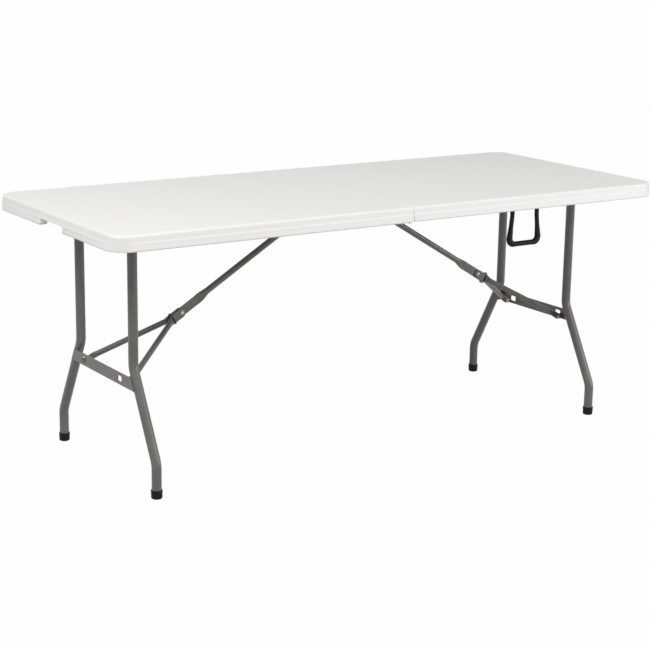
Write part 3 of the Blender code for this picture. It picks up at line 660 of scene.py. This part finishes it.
def notch_cutter(foot):
    """A cutter for the end notch, flared at the foot so that its lower corners come out round."""
    half = NOTCH_WIDTH / 2
    high = foot + NOTCH_HEIGHT
    flare = half + NOTCH_FLARE
    outline = [(-flare, foot - CUT_PAST), (flare, foot - CUT_PAST)]
    outline += arc((flare, foot + NOTCH_FLARE), NOTCH_FLARE, 270, 180, NOTCH_STEPS)
    outline += arc((half - NOTCH_ROUND, high - NOTCH_ROUND), NOTCH_ROUND, 0, 90, NOTCH_STEPS)
    outline += arc((NOTCH_ROUND - half, high - NOTCH_ROUND), NOTCH_ROUND, 90, 180, NOTCH_STEPS)
    outline += arc((-flare, foot + NOTCH_FLARE), NOTCH_FLARE, 0, -90, NOTCH_STEPS)
    faces = (HALF_LENGTH - SKIRT_WALL - CUT_LAP, HALF_LENGTH + CUT_PAST)
    return lofted(bmesh.new(), [[Vector((x, *point)) for point in outline] for x in faces])


def top_shell(end):
    """The upper skin and skirt of one half of the top."""
    skirt = SKIRTS[end]
    rings = []
    for inset, height in skirt_levels(end, skirt):
        low = (SEAM + seam_inset(end, skirt, height), -HALF_WIDTH + inset)
        high = (HALF_LENGTH - inset, HALF_WIDTH - inset)
        outer = TOP_CORNER - inset - CORNER_TIGHTEN * min(inset, UPPER_INSET)
        outline = rounded_rectangle(low, high, (SEAM_CORNER, outer, outer, SEAM_CORNER))
        rings.append([Vector((*point, height)) for point in outline])
    turn = TURNS[end]
    shell = mesh_object(end + "_top_shell", lofted(bmesh.new(), rings), turn)
    below = HEIGHT - skirt - CUT_PAST
    inner_y = HALF_WIDTH - SKIRT_WALL
    inner = TOP_CORNER - SKIRT_WALL
    radii = (SEAM_CORNER, inner, inner, SEAM_CORNER)
    outline = rounded_rectangle((SEAM_RIM_WALL, -inner_y), (HALF_LENGTH - SKIRT_WALL, inner_y), radii)
    recess = mesh_object("recess", prism(outline, below, HEIGHT - TOP_SKIN), turn)
    seam_low = (SEAM - CUT_PAST, -inner_y, below)
    seam_high = (SEAM_RIM_WALL + CUT_LAP, inner_y, HEIGHT - SEAM_RIM_DEPTH)
    seam_opening = mesh_object("seam_opening", block(seam_low, seam_high), turn)
    notch = mesh_object("notch", notch_cutter(HEIGHT - skirt), turn)
    shell = carve(shell, [recess, seam_opening, notch])
    bevel = shell.modifiers.new("soft_edges", "BEVEL")
    bevel.limit_method = "ANGLE"
    bevel.angle_limit = math.radians(60)
    bevel.width = EDGE_BEVEL
    bevel.segments = 2
    return hand_over(made_plain(shell), "white_plastic", end + "_half", end + "_top")


def field_tree(name, sizes, kind="NodeSocketFloat"):
    """A Geometry Nodes tree with named inputs; gives its board and the wires of its inputs."""
    tree = bpy.data.node_groups.new(name, "GeometryNodeTree")
    tree.interface.new_socket("Geometry", in_out="INPUT", socket_type="NodeSocketGeometry")
    for size in sizes:
        tree.interface.new_socket(size, in_out="INPUT", socket_type=kind)
    tree.interface.new_socket("Geometry", in_out="OUTPUT", socket_type="NodeSocketGeometry")
    group = tree.nodes.new("NodeGroupInput")
    wires = {socket.name: Wire(tree, socket) for socket in group.outputs if socket.name}
    return Board(tree), wires


def close_tree(board, geometry, slot):
    """End a tree: realise what is instanced and give it its finish."""
    real = board.add("GeometryNodeRealizeInstances", None, {"Geometry": geometry})
    inputs = {"Geometry": real, "Material": FINISHES[slot]}
    dressed = board.add("GeometryNodeSetMaterial", None, inputs)
    out = board.tree.nodes.new("NodeGroupOutput")
    board.tree.links.new(dressed.socket, out.inputs[0])
    return board.tree


def run_tree(obj, tree, sizes):
    """Run a tree on an object and leave a plain mesh."""
    modifier = obj.modifiers.new(tree.name, "NODES")
    modifier.node_group = tree
    for item in tree.interface.items_tree:
        if item.in_out == "INPUT" and item.name in sizes:
            modifier[item.identifier] = sizes[item.name]
    return made_plain(obj)


def dimple_tree():
    """A grid pressed into rows of round dimples, with a channel along its middle."""
    names = ("Near", "Far", "Half", "Step", "Pitch", "Row", "Radius", "Depth", "Field", "Channel", "Rise")
    board, size = field_tree("dimpled_underside", names)
    length = size["Far"] - size["Near"]
    grid = board.add(
        "GeometryNodeMeshGrid",
        None,
        {
            "Size X": length,
            "Size Y": size["Half"] * 2.0,
            "Vertices X": (length / size["Step"]).floor(),
            "Vertices Y": (size["Half"] * 2.0 / size["Step"]).floor(),
        },
        "Mesh",
    )
    place = board.add("GeometryNodeInputPosition")
    x = board.add("ShaderNodeSeparateXYZ", None, {"Vector": place}, "X") + (size["Near"] + size["Far"]) / 2.0
    y = board.add("ShaderNodeSeparateXYZ", None, {"Vector": place}, "Y")
    shift = ((y / size["Row"]).floor() / 2.0).fraction()
    across = ((y / size["Row"]).fraction() - 0.5) * size["Row"]
    along = ((x / size["Pitch"] + shift).fraction() - 0.5) * size["Pitch"]
    reach = (along * along + across * across).root() / size["Radius"]
    bowl = 1.0 - reach.rise(0.35, 1.0)
    off_rails = 1.0 - abs(y).rise(size["Field"] - FIELD_EDGE, size["Field"])
    by_channel = size["Channel"] + CHANNEL_MARGIN
    off_channel = abs(y).rise(by_channel, by_channel + FIELD_EDGE)
    field_end = HALF_LENGTH - FIELD_FROM_END
    off_seam = x.rise(FIELD_FROM_SEAM, FIELD_FROM_SEAM + FIELD_EDGE)
    off_ends = off_seam * (1.0 - x.rise(field_end, field_end + FIELD_EDGE))
    dimples = bowl * size["Depth"] * off_rails * off_channel * off_ends
    in_channel = 1.0 - abs(y).rise(size["Channel"], size["Channel"] + CHANNEL_SLOPE)
    channel_end = AXLE_X - CHANNEL_FROM_AXLE
    past_seam = x.rise(CHANNEL_FROM_SEAM, CHANNEL_FROM_SEAM + CHANNEL_RAMP)
    channel_run = past_seam * (1.0 - x.rise(channel_end, channel_end + CHANNEL_RAMP))
    height = dimples + in_channel * channel_run * size["Rise"]
    lifted = board.add("ShaderNodeCombineXYZ", None, {"X": x, "Y": y, "Z": height + (HEIGHT - PANEL)})
    shaped = board.add("GeometryNodeSetPosition", None, {"Geometry": grid, "Position": lifted})
    return close_tree(board, shaped, "white_plastic")


def underside(end, tree):
    """The dimpled lower skin of one half, closed above by a flat face."""
    carrier = bpy.data.objects.new(end + "_underside", bpy.data.meshes.new("carrier"))
    bpy.context.scene.collection.objects.link(carrier)
    sizes = {
        "Near": SEAM_RIM_WALL - SKIN_LAP,
        "Far": HALF_LENGTH - SKIRT_WALL + SKIN_LAP,
        "Half": HALF_WIDTH - SKIRT_WALL + SKIN_LAP,
        "Step": GRID_STEP,
        "Pitch": DIMPLE_PITCH,
        "Row": DIMPLE_ROW,
        "Radius": DIMPLE_RADIUS,
        "Depth": DIMPLE_DEPTH,
        "Field": DIMPLE_FIELD,
        "Channel": CHANNEL_HALF,
        "Rise": CHANNEL_DEPTH,
    }
    sheet = run_tree(carrier, tree, sizes)
    bm = bmesh.new()
    bm.from_mesh(sheet.data)
    bpy.data.objects.remove(sheet, do_unlink=True)
    rim = [edge for edge in bm.edges if edge.is_boundary]
    raised = bmesh.ops.extrude_edge_only(bm, edges=rim)["geom"]
    for vert in (item for item in raised if isinstance(item, bmesh.types.BMVert)):
        vert.co.z = HEIGHT - TOP_SKIN - SKIN_GAP
    lid = [edge for edge in bm.edges if edge.is_boundary]
    bmesh.ops.edgenet_fill(bm, edges=lid)
    sheet = mesh_object(end + "_underside", bm, TURNS[end])
    corner = TOP_CORNER - SKIRT_WALL + 2 * SKIN_LAP
    reach = (HALF_LENGTH - SKIRT_WALL + 2 * SKIN_LAP, HALF_WIDTH - SKIRT_WALL + 2 * SKIN_LAP)
    outline = rounded_rectangle((0, -reach[1]), reach, (SEAM_CORNER, corner, corner, SEAM_CORNER))
    limits = mesh_object("limits", prism(outline, HEIGHT / 2, HEIGHT * 2), TURNS[end])
    return hand_over(carve(sheet, [limits], "INTERSECT"), "white_plastic", end + "_half")


def leg_tube(end, edge):
    """A leg tube, coped around the axle at the top and down into its cap."""
    side = SIDES[end, edge]
    corners = [
        (AXLE_X, side * LEG_SPREAD, AXLE_Z),
        (AXLE_X, side * LEG_SPREAD, KNEE_Z),
        (AXLE_X, side * FOOT_SPREAD, ANKLE_Z),
        (AXLE_X, side * FOOT_SPREAD, CAP_FLOOR),
    ]
    path = bent(corners, LEG_BEND, 16)
    path.insert(1, Vector((AXLE_X, side * LEG_SPREAD, AXLE_Z - 2 * TUBE_RADIUS)))
    rings = swept(path, (1, 0, 0), lambda number: round_section(TUBE_RADIUS, TUBE_SIDES))
    for point in rings[0]:
        off = point.x - AXLE_X
        point.z = AXLE_Z - math.sqrt(max(0.0, TUBE_RADIUS**2 - off**2)) + COPE_SINK
    obj = mesh_object(f"{end}_{edge}_leg_tube", lofted(bmesh.new(), rings), TURNS[end])
    return hand_over(obj, "grey_steel", end + "_leg_set", f"{end}_{edge}_leg")


def axle_tube(end):
    """The axle across the legs, with softened ends."""
    low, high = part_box(end + "_leg_axle")
    half = (high.y - low.y) / 2
    path = [Vector((AXLE_X, y, AXLE_Z)) for y in (-half, AXLE_SOFT - half, half - AXLE_SOFT, half)]
    radii = (TUBE_RADIUS - AXLE_SOFT, TUBE_RADIUS, TUBE_RADIUS, TUBE_RADIUS - AXLE_SOFT)
    rings = swept(path, (1, 0, 0), lambda number: round_section(radii[number], TUBE_SIDES))
    obj = mesh_object(end + "_axle_tube", lofted(bmesh.new(), rings), TURNS[end])
    return hand_over(obj, "grey_steel", end + "_leg_set", end + "_leg_axle")


def foot(end, edge):
    """A moulded foot: a soft lip above, a slight taper and a rounded sole."""
    side = SIDES[end, edge]
    bore = TUBE_RADIUS + CAP_PLAY
    under_lip = CAP_HEIGHT - CAP_LIP
    profile = [(0, CAP_FLOOR), (bore, CAP_FLOOR), (bore, under_lip), (bore + CAP_LIP, CAP_HEIGHT)]
    profile += arc((CAP_RADIUS - CAP_LIP, under_lip), CAP_LIP, 90, 0, 4)
    profile.append((CAP_RADIUS - CAP_TAPER / 2, CAP_HEIGHT - CAP_COLLAR))
    profile += arc((CAP_RADIUS - CAP_TAPER - CAP_ROUND, CAP_ROUND), CAP_ROUND, 0, -90, 8)
    profile.append((0, 0))
    place = TURNS[end] @ Matrix.Translation((AXLE_X, side * FOOT_SPREAD, 0))
    obj = lathed(f"{end}_{edge}_foot", profile, place)
    return hand_over(obj, "black_plastic", end + "_leg_set", f"{end}_{edge}_foot_cap")


def leg_line(height):
    """How far from the middle a splayed leg is at a height."""
    return LEG_SPREAD + (FOOT_SPREAD - LEG_SPREAD) * (KNEE_Z - height) / (KNEE_Z - ANKLE_Z)


def weld_tree():
    """A rippled bead along the curves that it is given."""
    board, size = field_tree("weld_bead", ("Spacing", "Radius", "Ripple"))
    inputs = {"Curve": size["Geometry"], "Length": size["Spacing"]}
    even = board.add("GeometryNodeResampleCurve", {"mode": "LENGTH"}, inputs)
    number = board.add("GeometryNodeInputIndex")
    ripple = (number * (math.pi / 2)).sine() * size["Ripple"] + 1.0
    inputs = {"Resolution": 8, "Radius": size["Radius"]}
    round_wire = board.add("GeometryNodeCurvePrimitiveCircle", {"mode": "RADIUS"}, inputs, "Curve")
    inputs = {"Curve": even, "Profile Curve": round_wire, "Scale": ripple, "Fill Caps": True}
    bead = board.add("GeometryNodeCurveToMesh", None, inputs)
    return close_tree(board, bead, "grey_steel")


def welds(end, tree):
    """Weld beads where the legs meet the axle and the crossbar."""
    data = bpy.data.curves.new(end + "_welds", "CURVE")
    data.dimensions = "3D"
    turn = TURNS[end]
    runs = []
    for side in (-1, 1):
        saddle = []
        for x, y in round_section(TUBE_RADIUS, SADDLE_STEPS):
            z = -math.sqrt(max(0.0, TUBE_RADIUS**2 - x**2))
            saddle.append((AXLE_X + x, side * LEG_SPREAD + y, AXLE_Z + z))
        runs.append((saddle, True))
        for height in (CROSSBAR_LOW, CROSSBAR_HIGH):
            start = leg_line(height) - WELD_START
            x = AXLE_X + TUBE_RADIUS - WELD_SINK
            seam = [(x, side * y, height) for y in (start, start - WELD_LENGTH)]
            runs.append((seam, False))
    for points, closed in runs:
        spline = data.splines.new("POLY")
        spline.points.add(len(points) - 1)
        for point, place in zip(spline.points, points):
            point.co = (*(turn @ Vector(place)), 1)
        spline.use_cyclic_u = closed
    obj = bpy.data.objects.new(end + "_welds", data)
    bpy.context.scene.collection.objects.link(obj)
    sizes = {"Spacing": WELD_SPACING, "Radius": WELD_RADIUS, "Ripple": WELD_RIPPLE}
    return hand_over(run_tree(obj, tree, sizes), "grey_steel", end + "_leg_set")


def link_frame(end):
    turn = Matrix.Translation((HANGER_X, 0, AXLE_Z)) @ Matrix.Rotation(STAY_ANGLE, 4, "Y")
    return TURNS[end] @ turn


def end_width(width, into):
    """The width of a round-ended strip at a distance from its end."""
    radius = width / 2
    if into >= radius:
        return width
    return max(LEAST_WIDTH, 2 * math.sqrt(max(0.0, radius**2 - (radius - into) ** 2)))


def upper_link(end):
    """The stay's upper tube: an eye at the hanger and a pressed blade at the middle joint."""
    start = -EYE_RADIUS
    finish = LINK_LENGTH + BLADE_TAIL
    eye_end = 2 * EYE_RADIUS
    blade_start = LINK_LENGTH - BLADE_LENGTH
    rings = []
    for along, _, _ in stepped([Vector((start, 0, 0)), Vector((finish, 0, 0))]):
        eye = 1 - smooth_step((along - eye_end) / BLADE_TAPER)
        blade = smooth_step((along - blade_start + BLADE_TAPER) / BLADE_TAPER)
        width = 2 * LINK_RADIUS + (2 * EYE_RADIUS - 2 * LINK_RADIUS) * eye
        width += (BLADE_WIDTH - 2 * LINK_RADIUS) * blade
        width = end_width(width, along - start)
        short = max(0.0, BLADE_END_ROUND - (finish - along))
        width -= 2 * (BLADE_END_ROUND - math.sqrt(max(0.0, BLADE_END_ROUND**2 - short**2)))
        power = 2 + PRESSED * max(eye, blade)
        lift = TUBE_LIFT * (1 - max(eye, blade))
        points = []
        for across, high in pressed_section(1.0, width, power):
            edge = abs(high) / (width / 2)
            crease = smooth_step((along - blade_start + BLADE_TAPER - BLADE_CREASE * edge) / BLADE_TAPER)
            thick = 2 * LINK_RADIUS + (EYE_THICK - 2 * LINK_RADIUS) * eye
            thick += (BLADE_THICK - 2 * LINK_RADIUS) * crease
            points.append(Vector((along, across * max(thick, BLADE_THICK), high + lift)))
        rings.append(points)
    obj = mesh_object(end + "_stay_link", lofted(bmesh.new(), rings), link_frame(end))
    holes = []
    for label, along, radius in (("pin", 0, PIN_HOLE), ("small", LINK_LENGTH - BLADE_HOLE_PLACE, BLADE_HOLE)):
        profile = [(radius, -HOLE_REACH), (radius, HOLE_REACH)]
        stand = link_frame(end) @ Matrix.Translation((along, 0, 0)) @ Matrix.Rotation(math.pi / 2, 4, "X")
        holes.append(lathed(label, profile, stand, 24))
    return hand_over(carve(obj, holes), "grey_steel", end + "_link", end + "_upper_link")


def wishbone_arm(end, edge):
    """One arm of the wishbone: flat at the crossbar, round between, flat beside the blade."""
    side = SIDES[end, edge]
    tip = TIP_INNER + TIP_THICK / 2
    bend_end = ARM_LENGTH - TIP_FLAT
    finish = ARM_LENGTH + TIP_PAST
    corners = [
        (-ARM_EYE_RADIUS, side * ARM_SPREAD, 0),
        (ARM_FLAT, side * ARM_SPREAD, 0),
        (bend_end, side * tip, 0),
        (finish, side * tip, 0),
    ]
    path = stepped(bent(corners, ARM_BEND, 10))
    runs = [0.0]
    for first, second in zip(path, path[1:]):
        runs.append(runs[-1] + (second - first).length)
    total = runs[-1]
    flat_start = ARM_EYE_RADIUS + ARM_FLAT - ARM_FLAT_SOFT
    flat_end = TIP_PAST + TIP_FLAT - TIP_FLAT_SOFT
    round_size = 2 * ARM_RADIUS

    def section(number):
        into = runs[number]
        left = total - into
        eye = 1 - smooth_step((into - flat_start) / ARM_TAPER)
        end_flat = 1 - smooth_step((left - flat_end) / ARM_TAPER)
        width = round_size + (2 * ARM_EYE_RADIUS - round_size) * eye + (TIP_WIDTH - round_size) * end_flat
        thick = round_size + (ARM_EYE_THICK - round_size) * eye + (TIP_THICK - round_size) * end_flat
        width = min(end_width(width, into), end_width(width, left))
        return pressed_section(thick, width, 2 + PRESSED * max(eye, end_flat))

    rings = swept(path, (0, 0, 1), section)
    for point in (point for ring in rings for point in ring):
        jog = smooth_step((point.x - ARM_LENGTH - TIP_JOG_START) / TIP_JOG_RUN)
        thinned = (point.y - side * tip) * (1 - TIP_JOG_THIN * jog)
        point.y = side * (tip - (TIP_INNER - BLADE_THICK / 2 - TIP_JOG_PLAY) * jog) + thinned
    turn = Matrix.Translation((AXLE_X, 0, ARM_Z)) @ Matrix.Rotation(math.pi + STAY_ANGLE, 4, "Y")
    obj = mesh_object(f"{end}_{edge}_wishbone_arm", lofted(bmesh.new(), rings), TURNS[end] @ turn)
    return hand_over(obj, "grey_steel", end + "_arms", f"{end}_{edge}_arm")


def slip_ring(end):
    """An oval of wire around the blade and both tips, which slides up to free the joint."""
    path = []
    for wide, tall in round_section(1.0, RING_STEPS):
        y = RING_HALF_WIDTH * math.copysign(abs(wide) ** RING_SQUARE, wide)
        z = RING_HALF_HEIGHT * math.copysign(abs(tall) ** RING_SQUARE, tall)
        path.append(Vector((0, y, z)))
    rings = swept(path, (1, 0, 0), lambda number: round_section(RING_WIRE / 2, 14), True)
    along = math.hypot(RING_MIDDLE.x - HANGER_X, RING_MIDDLE.z - AXLE_Z)
    place = link_frame(end) @ Matrix.Translation((along, 0, 0))
    obj = mesh_object(end + "_slip_ring", lofted(bmesh.new(), rings, True), place)
    return hand_over(obj, "dark_wire", end + "_ring", end + "_lock_ring")


def bail_handle():
    """The carry handle: two flattened arms, a thicker grip and trunnions in the clips."""
    half = (HANDLE_HIGH.x - HANDLE_LOW.x) / 2 - HANDLE_CLIP
    drop = HANDLE_AXIS.z - HANDLE_LOW.z - HANDLE_GRIP
    low = half + HANDLE_SPLAY
    straight = -HANDLE_STRAIGHT
    arm = [(half, 0, 0), (half, 0, straight), (low, 0, -drop)]
    corners = [(-x, y, z) for x, y, z in arm] + arm[::-1]
    path = stepped(bent(corners, HANDLE_BEND, 12))

    def section(number):
        point = path[number]
        grip = smooth_step((-point.z / drop - GRIP_START) / (1 - GRIP_START))
        corner = grip * smooth_step(2 * abs(point.x) / low - 1)
        wide = HANDLE_ARM[0] + (HANDLE_GRIP - HANDLE_ARM[0]) * grip + HANDLE_CORNER * corner
        deep = HANDLE_ARM[1] + (HANDLE_GRIP - HANDLE_ARM[1]) * grip
        power = ARM_SQUARE + (GRIP_SQUARE - ARM_SQUARE) * grip
        return pressed_section(2 * wide, 2 * deep, power, 32)

    place = Matrix.Translation(HANDLE_AXIS)
    obj = mesh_object("bail_handle", lofted(bmesh.new(), swept(path, (0, 1, 0), section)), place)
    joined = []
    for side in (-1, 1):
        sink = HANDLE_BOSS_LENGTH / 2
        profile = [
            (HANDLE_BOSS - BOSS_SOFT, -sink),
            (HANDLE_BOSS, BOSS_SOFT - sink),
            (HANDLE_BOSS, sink - BOSS_SOFT),
            (HANDLE_BOSS - BOSS_SOFT, sink),
            (TRUNNION, sink),
            (TRUNNION, HANDLE_CLIP),
        ]
        stand = place @ Matrix.Translation((side * half, 0, 0)) @ Matrix.Rotation(side * math.pi / 2, 4, "Y")
        joined.append(lathed(f"boss_{side}", profile, stand, 32))
    return hand_over(carve(obj, joined, "UNION"), "black_plastic", "handle", "carry_handle")


def head_tree():
    """Heads set on points, each turned to face out and sized by its own radius."""
    board, size = field_tree("set_heads", ("Head",), "NodeSocketObject")
    inputs = {"Object": size["Head"]}
    shape = board.add("GeometryNodeObjectInfo", {"transform_space": "ORIGINAL"}, inputs, "Geometry")
    attribute = "GeometryNodeInputNamedAttribute"
    facing = board.add(attribute, {"data_type": "FLOAT_VECTOR"}, {"Name": "facing"}, "Attribute")
    radius = board.add(attribute, {"data_type": "FLOAT"}, {"Name": "head_size"}, "Attribute")
    turn = board.add("FunctionNodeAlignRotationToVector", {"axis": "Z"}, {"Vector": facing})
    points = board.add("GeometryNodeMeshToPoints", None, {"Mesh": size["Geometry"]})
    inputs = {"Points": points, "Instance": shape, "Rotation": turn, "Scale": radius}
    return close_tree(board, board.add("GeometryNodeInstanceOnPoints", None, inputs), "zinc_steel")


def head_shapes():
    """Unit heads that face up from their seat: a domed rivet and a pan-headed screw with a cross."""
    dome = [(0.50, -0.55), (0.52, 0.0), (1.0, 0.0)]
    dome += [(u, 0.05 + 0.27 * v) for u, v in arc((0, 0), 1.0, 0, 90, 6)]
    rivet = lathed("rivet_head", dome, Matrix.Identity(4), 24)
    pan = [(0.44, -0.70), (0.44, 0.0), (1.0, 0.0)]
    pan += arc((0.62, 0.20), 0.38, 0, 90, 5)
    pan.append((0, 0.60))
    screw = lathed("screw_head", pan, Matrix.Identity(4), 24)
    slots = [block((-0.52, -0.10, 0.28), (0.52, 0.10, 0.9)), block((-0.10, -0.52, 0.28), (0.10, 0.52, 0.9))]
    screw = carve(screw, [mesh_object(f"cross_{number}", slot) for number, slot in enumerate(slots)])
    return {"rivet": rivet, "screw": screw}


def set_heads(name, body, head, seats, tree, nodes):
    """One mesh of all the heads of a body; seats are (place, facing, radius)."""
    mesh = bpy.data.meshes.new(name)
    mesh.from_pydata([seat[0] for seat in seats], [], [])
    mesh.attributes.new("facing", "FLOAT_VECTOR", "POINT")
    mesh.attributes.new("head_size", "FLOAT", "POINT")
    for number, (_, facing, radius) in enumerate(seats):
        mesh.attributes["facing"].data[number].vector = facing
        mesh.attributes["head_size"].data[number].value = radius
    obj = bpy.data.objects.new(name, mesh)
    bpy.context.scene.collection.objects.link(obj)
    return hand_over(run_tree(obj, tree, {"Head": head}), "zinc_steel", body, *nodes)


def pin_seats(node):
    """Seats of the two heads of a pin along Y."""
    low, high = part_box(node)
    middle = (low + high) / 2
    radius = (high.z - low.z) / 2
    return [
        ((middle.x, high.y - PIN_HEAD, middle.z), (0, 1, 0), radius),
        ((middle.x, low.y + PIN_HEAD, middle.z), (0, -1, 0), radius),
    ]


def fasteners(end, tree, heads):
    """Screws, pins and rivets of one end, one mesh for each body."""
    rows = [f"{end}_{edge}_rail_screw_{number}" for edge in ("front", "rear") for number in (1, 2)]
    seats = []
    for node in rows:
        low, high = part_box(node)
        middle = (low + high) / 2
        radius = (high.x - low.x) / 2
        seats.append(((middle.x, middle.y, low.z + SCREW_HEAD), (0, 0, -1), radius))
    set_heads(end + "_rail_screws", end + "_half", heads["screw"], seats, tree, rows)
    pins = [end + "_stay_hanger_pin"]
    if end == "left":
        pins += ["front_hinge_pin", "rear_hinge_pin"]
    seats = [seat for node in pins for seat in pin_seats(node)]
    set_heads(end + "_top_pins", end + "_half", heads["rivet"], seats, tree, pins)
    pins = [f"{end}_{edge}_arm_pin" for edge in EDGES]
    seats = [seat for node in pins for seat in pin_seats(node)]
    set_heads(end + "_arm_pins", end + "_leg_set", heads["rivet"], seats, tree, pins)
    rivets = [f"{end}_{edge}_joint_rivet" for edge in EDGES]
    seats = []
    for node in rivets:
        low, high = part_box(node)
        middle = (low + high) / 2
        out = 1 if middle.y > 0 else -1
        seat = TIP_INNER + TIP_THICK
        seats.append(((middle.x, out * seat, middle.z), (0, out, 0), (high.z - low.z) / 2))
    set_heads(end + "_joint_rivets", end + "_arms", heads["rivet"], seats, tree, rivets)


def dress_nodes():
    """Carry the record's slots over to the nodes that stay in view."""
    slots = {part["node"]: part["material_slot"] for part in frame["record"]["subparts"]}
    for name, obj in NODES.items():
        obj.data.materials.clear()
        obj.data.materials.append(FINISHES[slots[name]])


def table_looks():
    """Every visible piece of the table."""
    dress_nodes()
    dimples = dimple_tree()
    beads = weld_tree()
    heads = head_shapes()
    setting = head_tree()
    for end in ENDS:
        top_shell(end)
        underside(end, dimples)
        axle_tube(end)
        welds(end, beads)
        upper_link(end)
        slip_ring(end)
        for edge in EDGES:
            leg_tube(end, edge)
            foot(end, edge)
            wishbone_arm(end, edge)
        fasteners(end, setting, heads)
    bail_handle()
    for head in heads.values():
        bpy.data.objects.remove(head, do_unlink=True)


def seen_white(tree, share):
    """How far a surface shows as plain white to the eye and in reflections."""
    board = Board(tree)
    path = tree.nodes.new("ShaderNodeLightPath")
    kinds = ("Is Camera Ray", "Is Glossy Ray", "Is Transmission Ray")
    camera, glossy, through = (Wire(tree, path.outputs[kind]) for kind in kinds)
    return board, (camera + glossy + through).clamped() * share


def studio_floor():
    """A wide pale floor that keeps a faint shadow."""
    bm = bmesh.new()
    bmesh.ops.create_grid(bm, x_segments=1, y_segments=1, size=FLOOR_HALF)
    bmesh.ops.translate(bm, vec=(0, 0, -FLOOR_DROP), verts=bm.verts)
    floor = mesh_object("studio_floor", bm)
    material = bpy.data.materials.new("pale_floor")
    material.use_nodes = True
    tree = material.node_tree
    tree.nodes.clear()
    board, share = seen_white(tree, FLOOR_WHITE)
    matt = board.add("ShaderNodeBsdfDiffuse", None, {"Color": grey(FLOOR_GREY)})
    white = board.add("ShaderNodeEmission", None, {"Color": (1, 1, 1, 1), "Strength": 1.0})
    mixed = board.add("ShaderNodeMixShader", None, {0: share, 1: matt, 2: white})
    out = tree.nodes.new("ShaderNodeOutputMaterial")
    tree.links.new(mixed.socket, out.inputs["Surface"])
    floor.data.materials.append(material)


def studio_world():
    """Even light from all round, which the camera and reflections see as white."""
    world = bpy.data.worlds.new("studio")
    bpy.context.scene.world = world
    world.use_nodes = True
    tree = world.node_tree
    background = tree.nodes["Background"]
    _, share = seen_white(tree, 1.0)
    background.inputs["Color"].default_value = (1, 1, 1, 1)
    strength = WORLD_LIGHT + (1.0 - WORLD_LIGHT) * share
    tree.links.new(strength.socket, background.inputs["Strength"])


def soft_lamp(name, place, size, watts):
    """A round soft lamp, aimed at the table."""
    data = bpy.data.lights.new(name, "AREA")
    data.shape = "DISK"
    data.size = size
    data.energy = watts
    lamp = bpy.data.objects.new(name, data)
    bpy.context.scene.collection.objects.link(lamp)
    lamp.location = place
    aim = Vector(LAMP_AIM) - Vector(place)
    lamp.rotation_euler = aim.to_track_quat("-Z", "Y").to_euler()


def photo_camera():
    """The camera of the photograph, from its fitted place, turn and lens."""
    ahead = Vector((math.sin(YAW) * math.cos(PITCH), math.cos(YAW) * math.cos(PITCH), -math.sin(PITCH)))
    right = Vector((math.cos(YAW), -math.sin(YAW), 0))
    up = right.cross(ahead)
    rolled_right = right * math.cos(ROLL) + up * math.sin(ROLL)
    rolled_up = up * math.cos(ROLL) - right * math.sin(ROLL)
    data = bpy.data.cameras.new("photo_camera")
    data.lens = FOCAL_SHARE * data.sensor_width
    camera = bpy.data.objects.new("photo_camera", data)
    bpy.context.scene.collection.objects.link(camera)
    turn = Matrix((rolled_right, rolled_up, -ahead)).transposed().to_4x4()
    camera.matrix_world = Matrix.Translation(CAMERA_PLACE) @ turn
    bpy.context.scene.camera = camera


table_looks()
studio_floor()
studio_world()
for name, lamp in LAMPS.items():
    soft_lamp(name, **lamp)
photo_camera()
bpy.context.scene.view_settings.view_transform = "Standard"

bpy.context.view_layer.update()
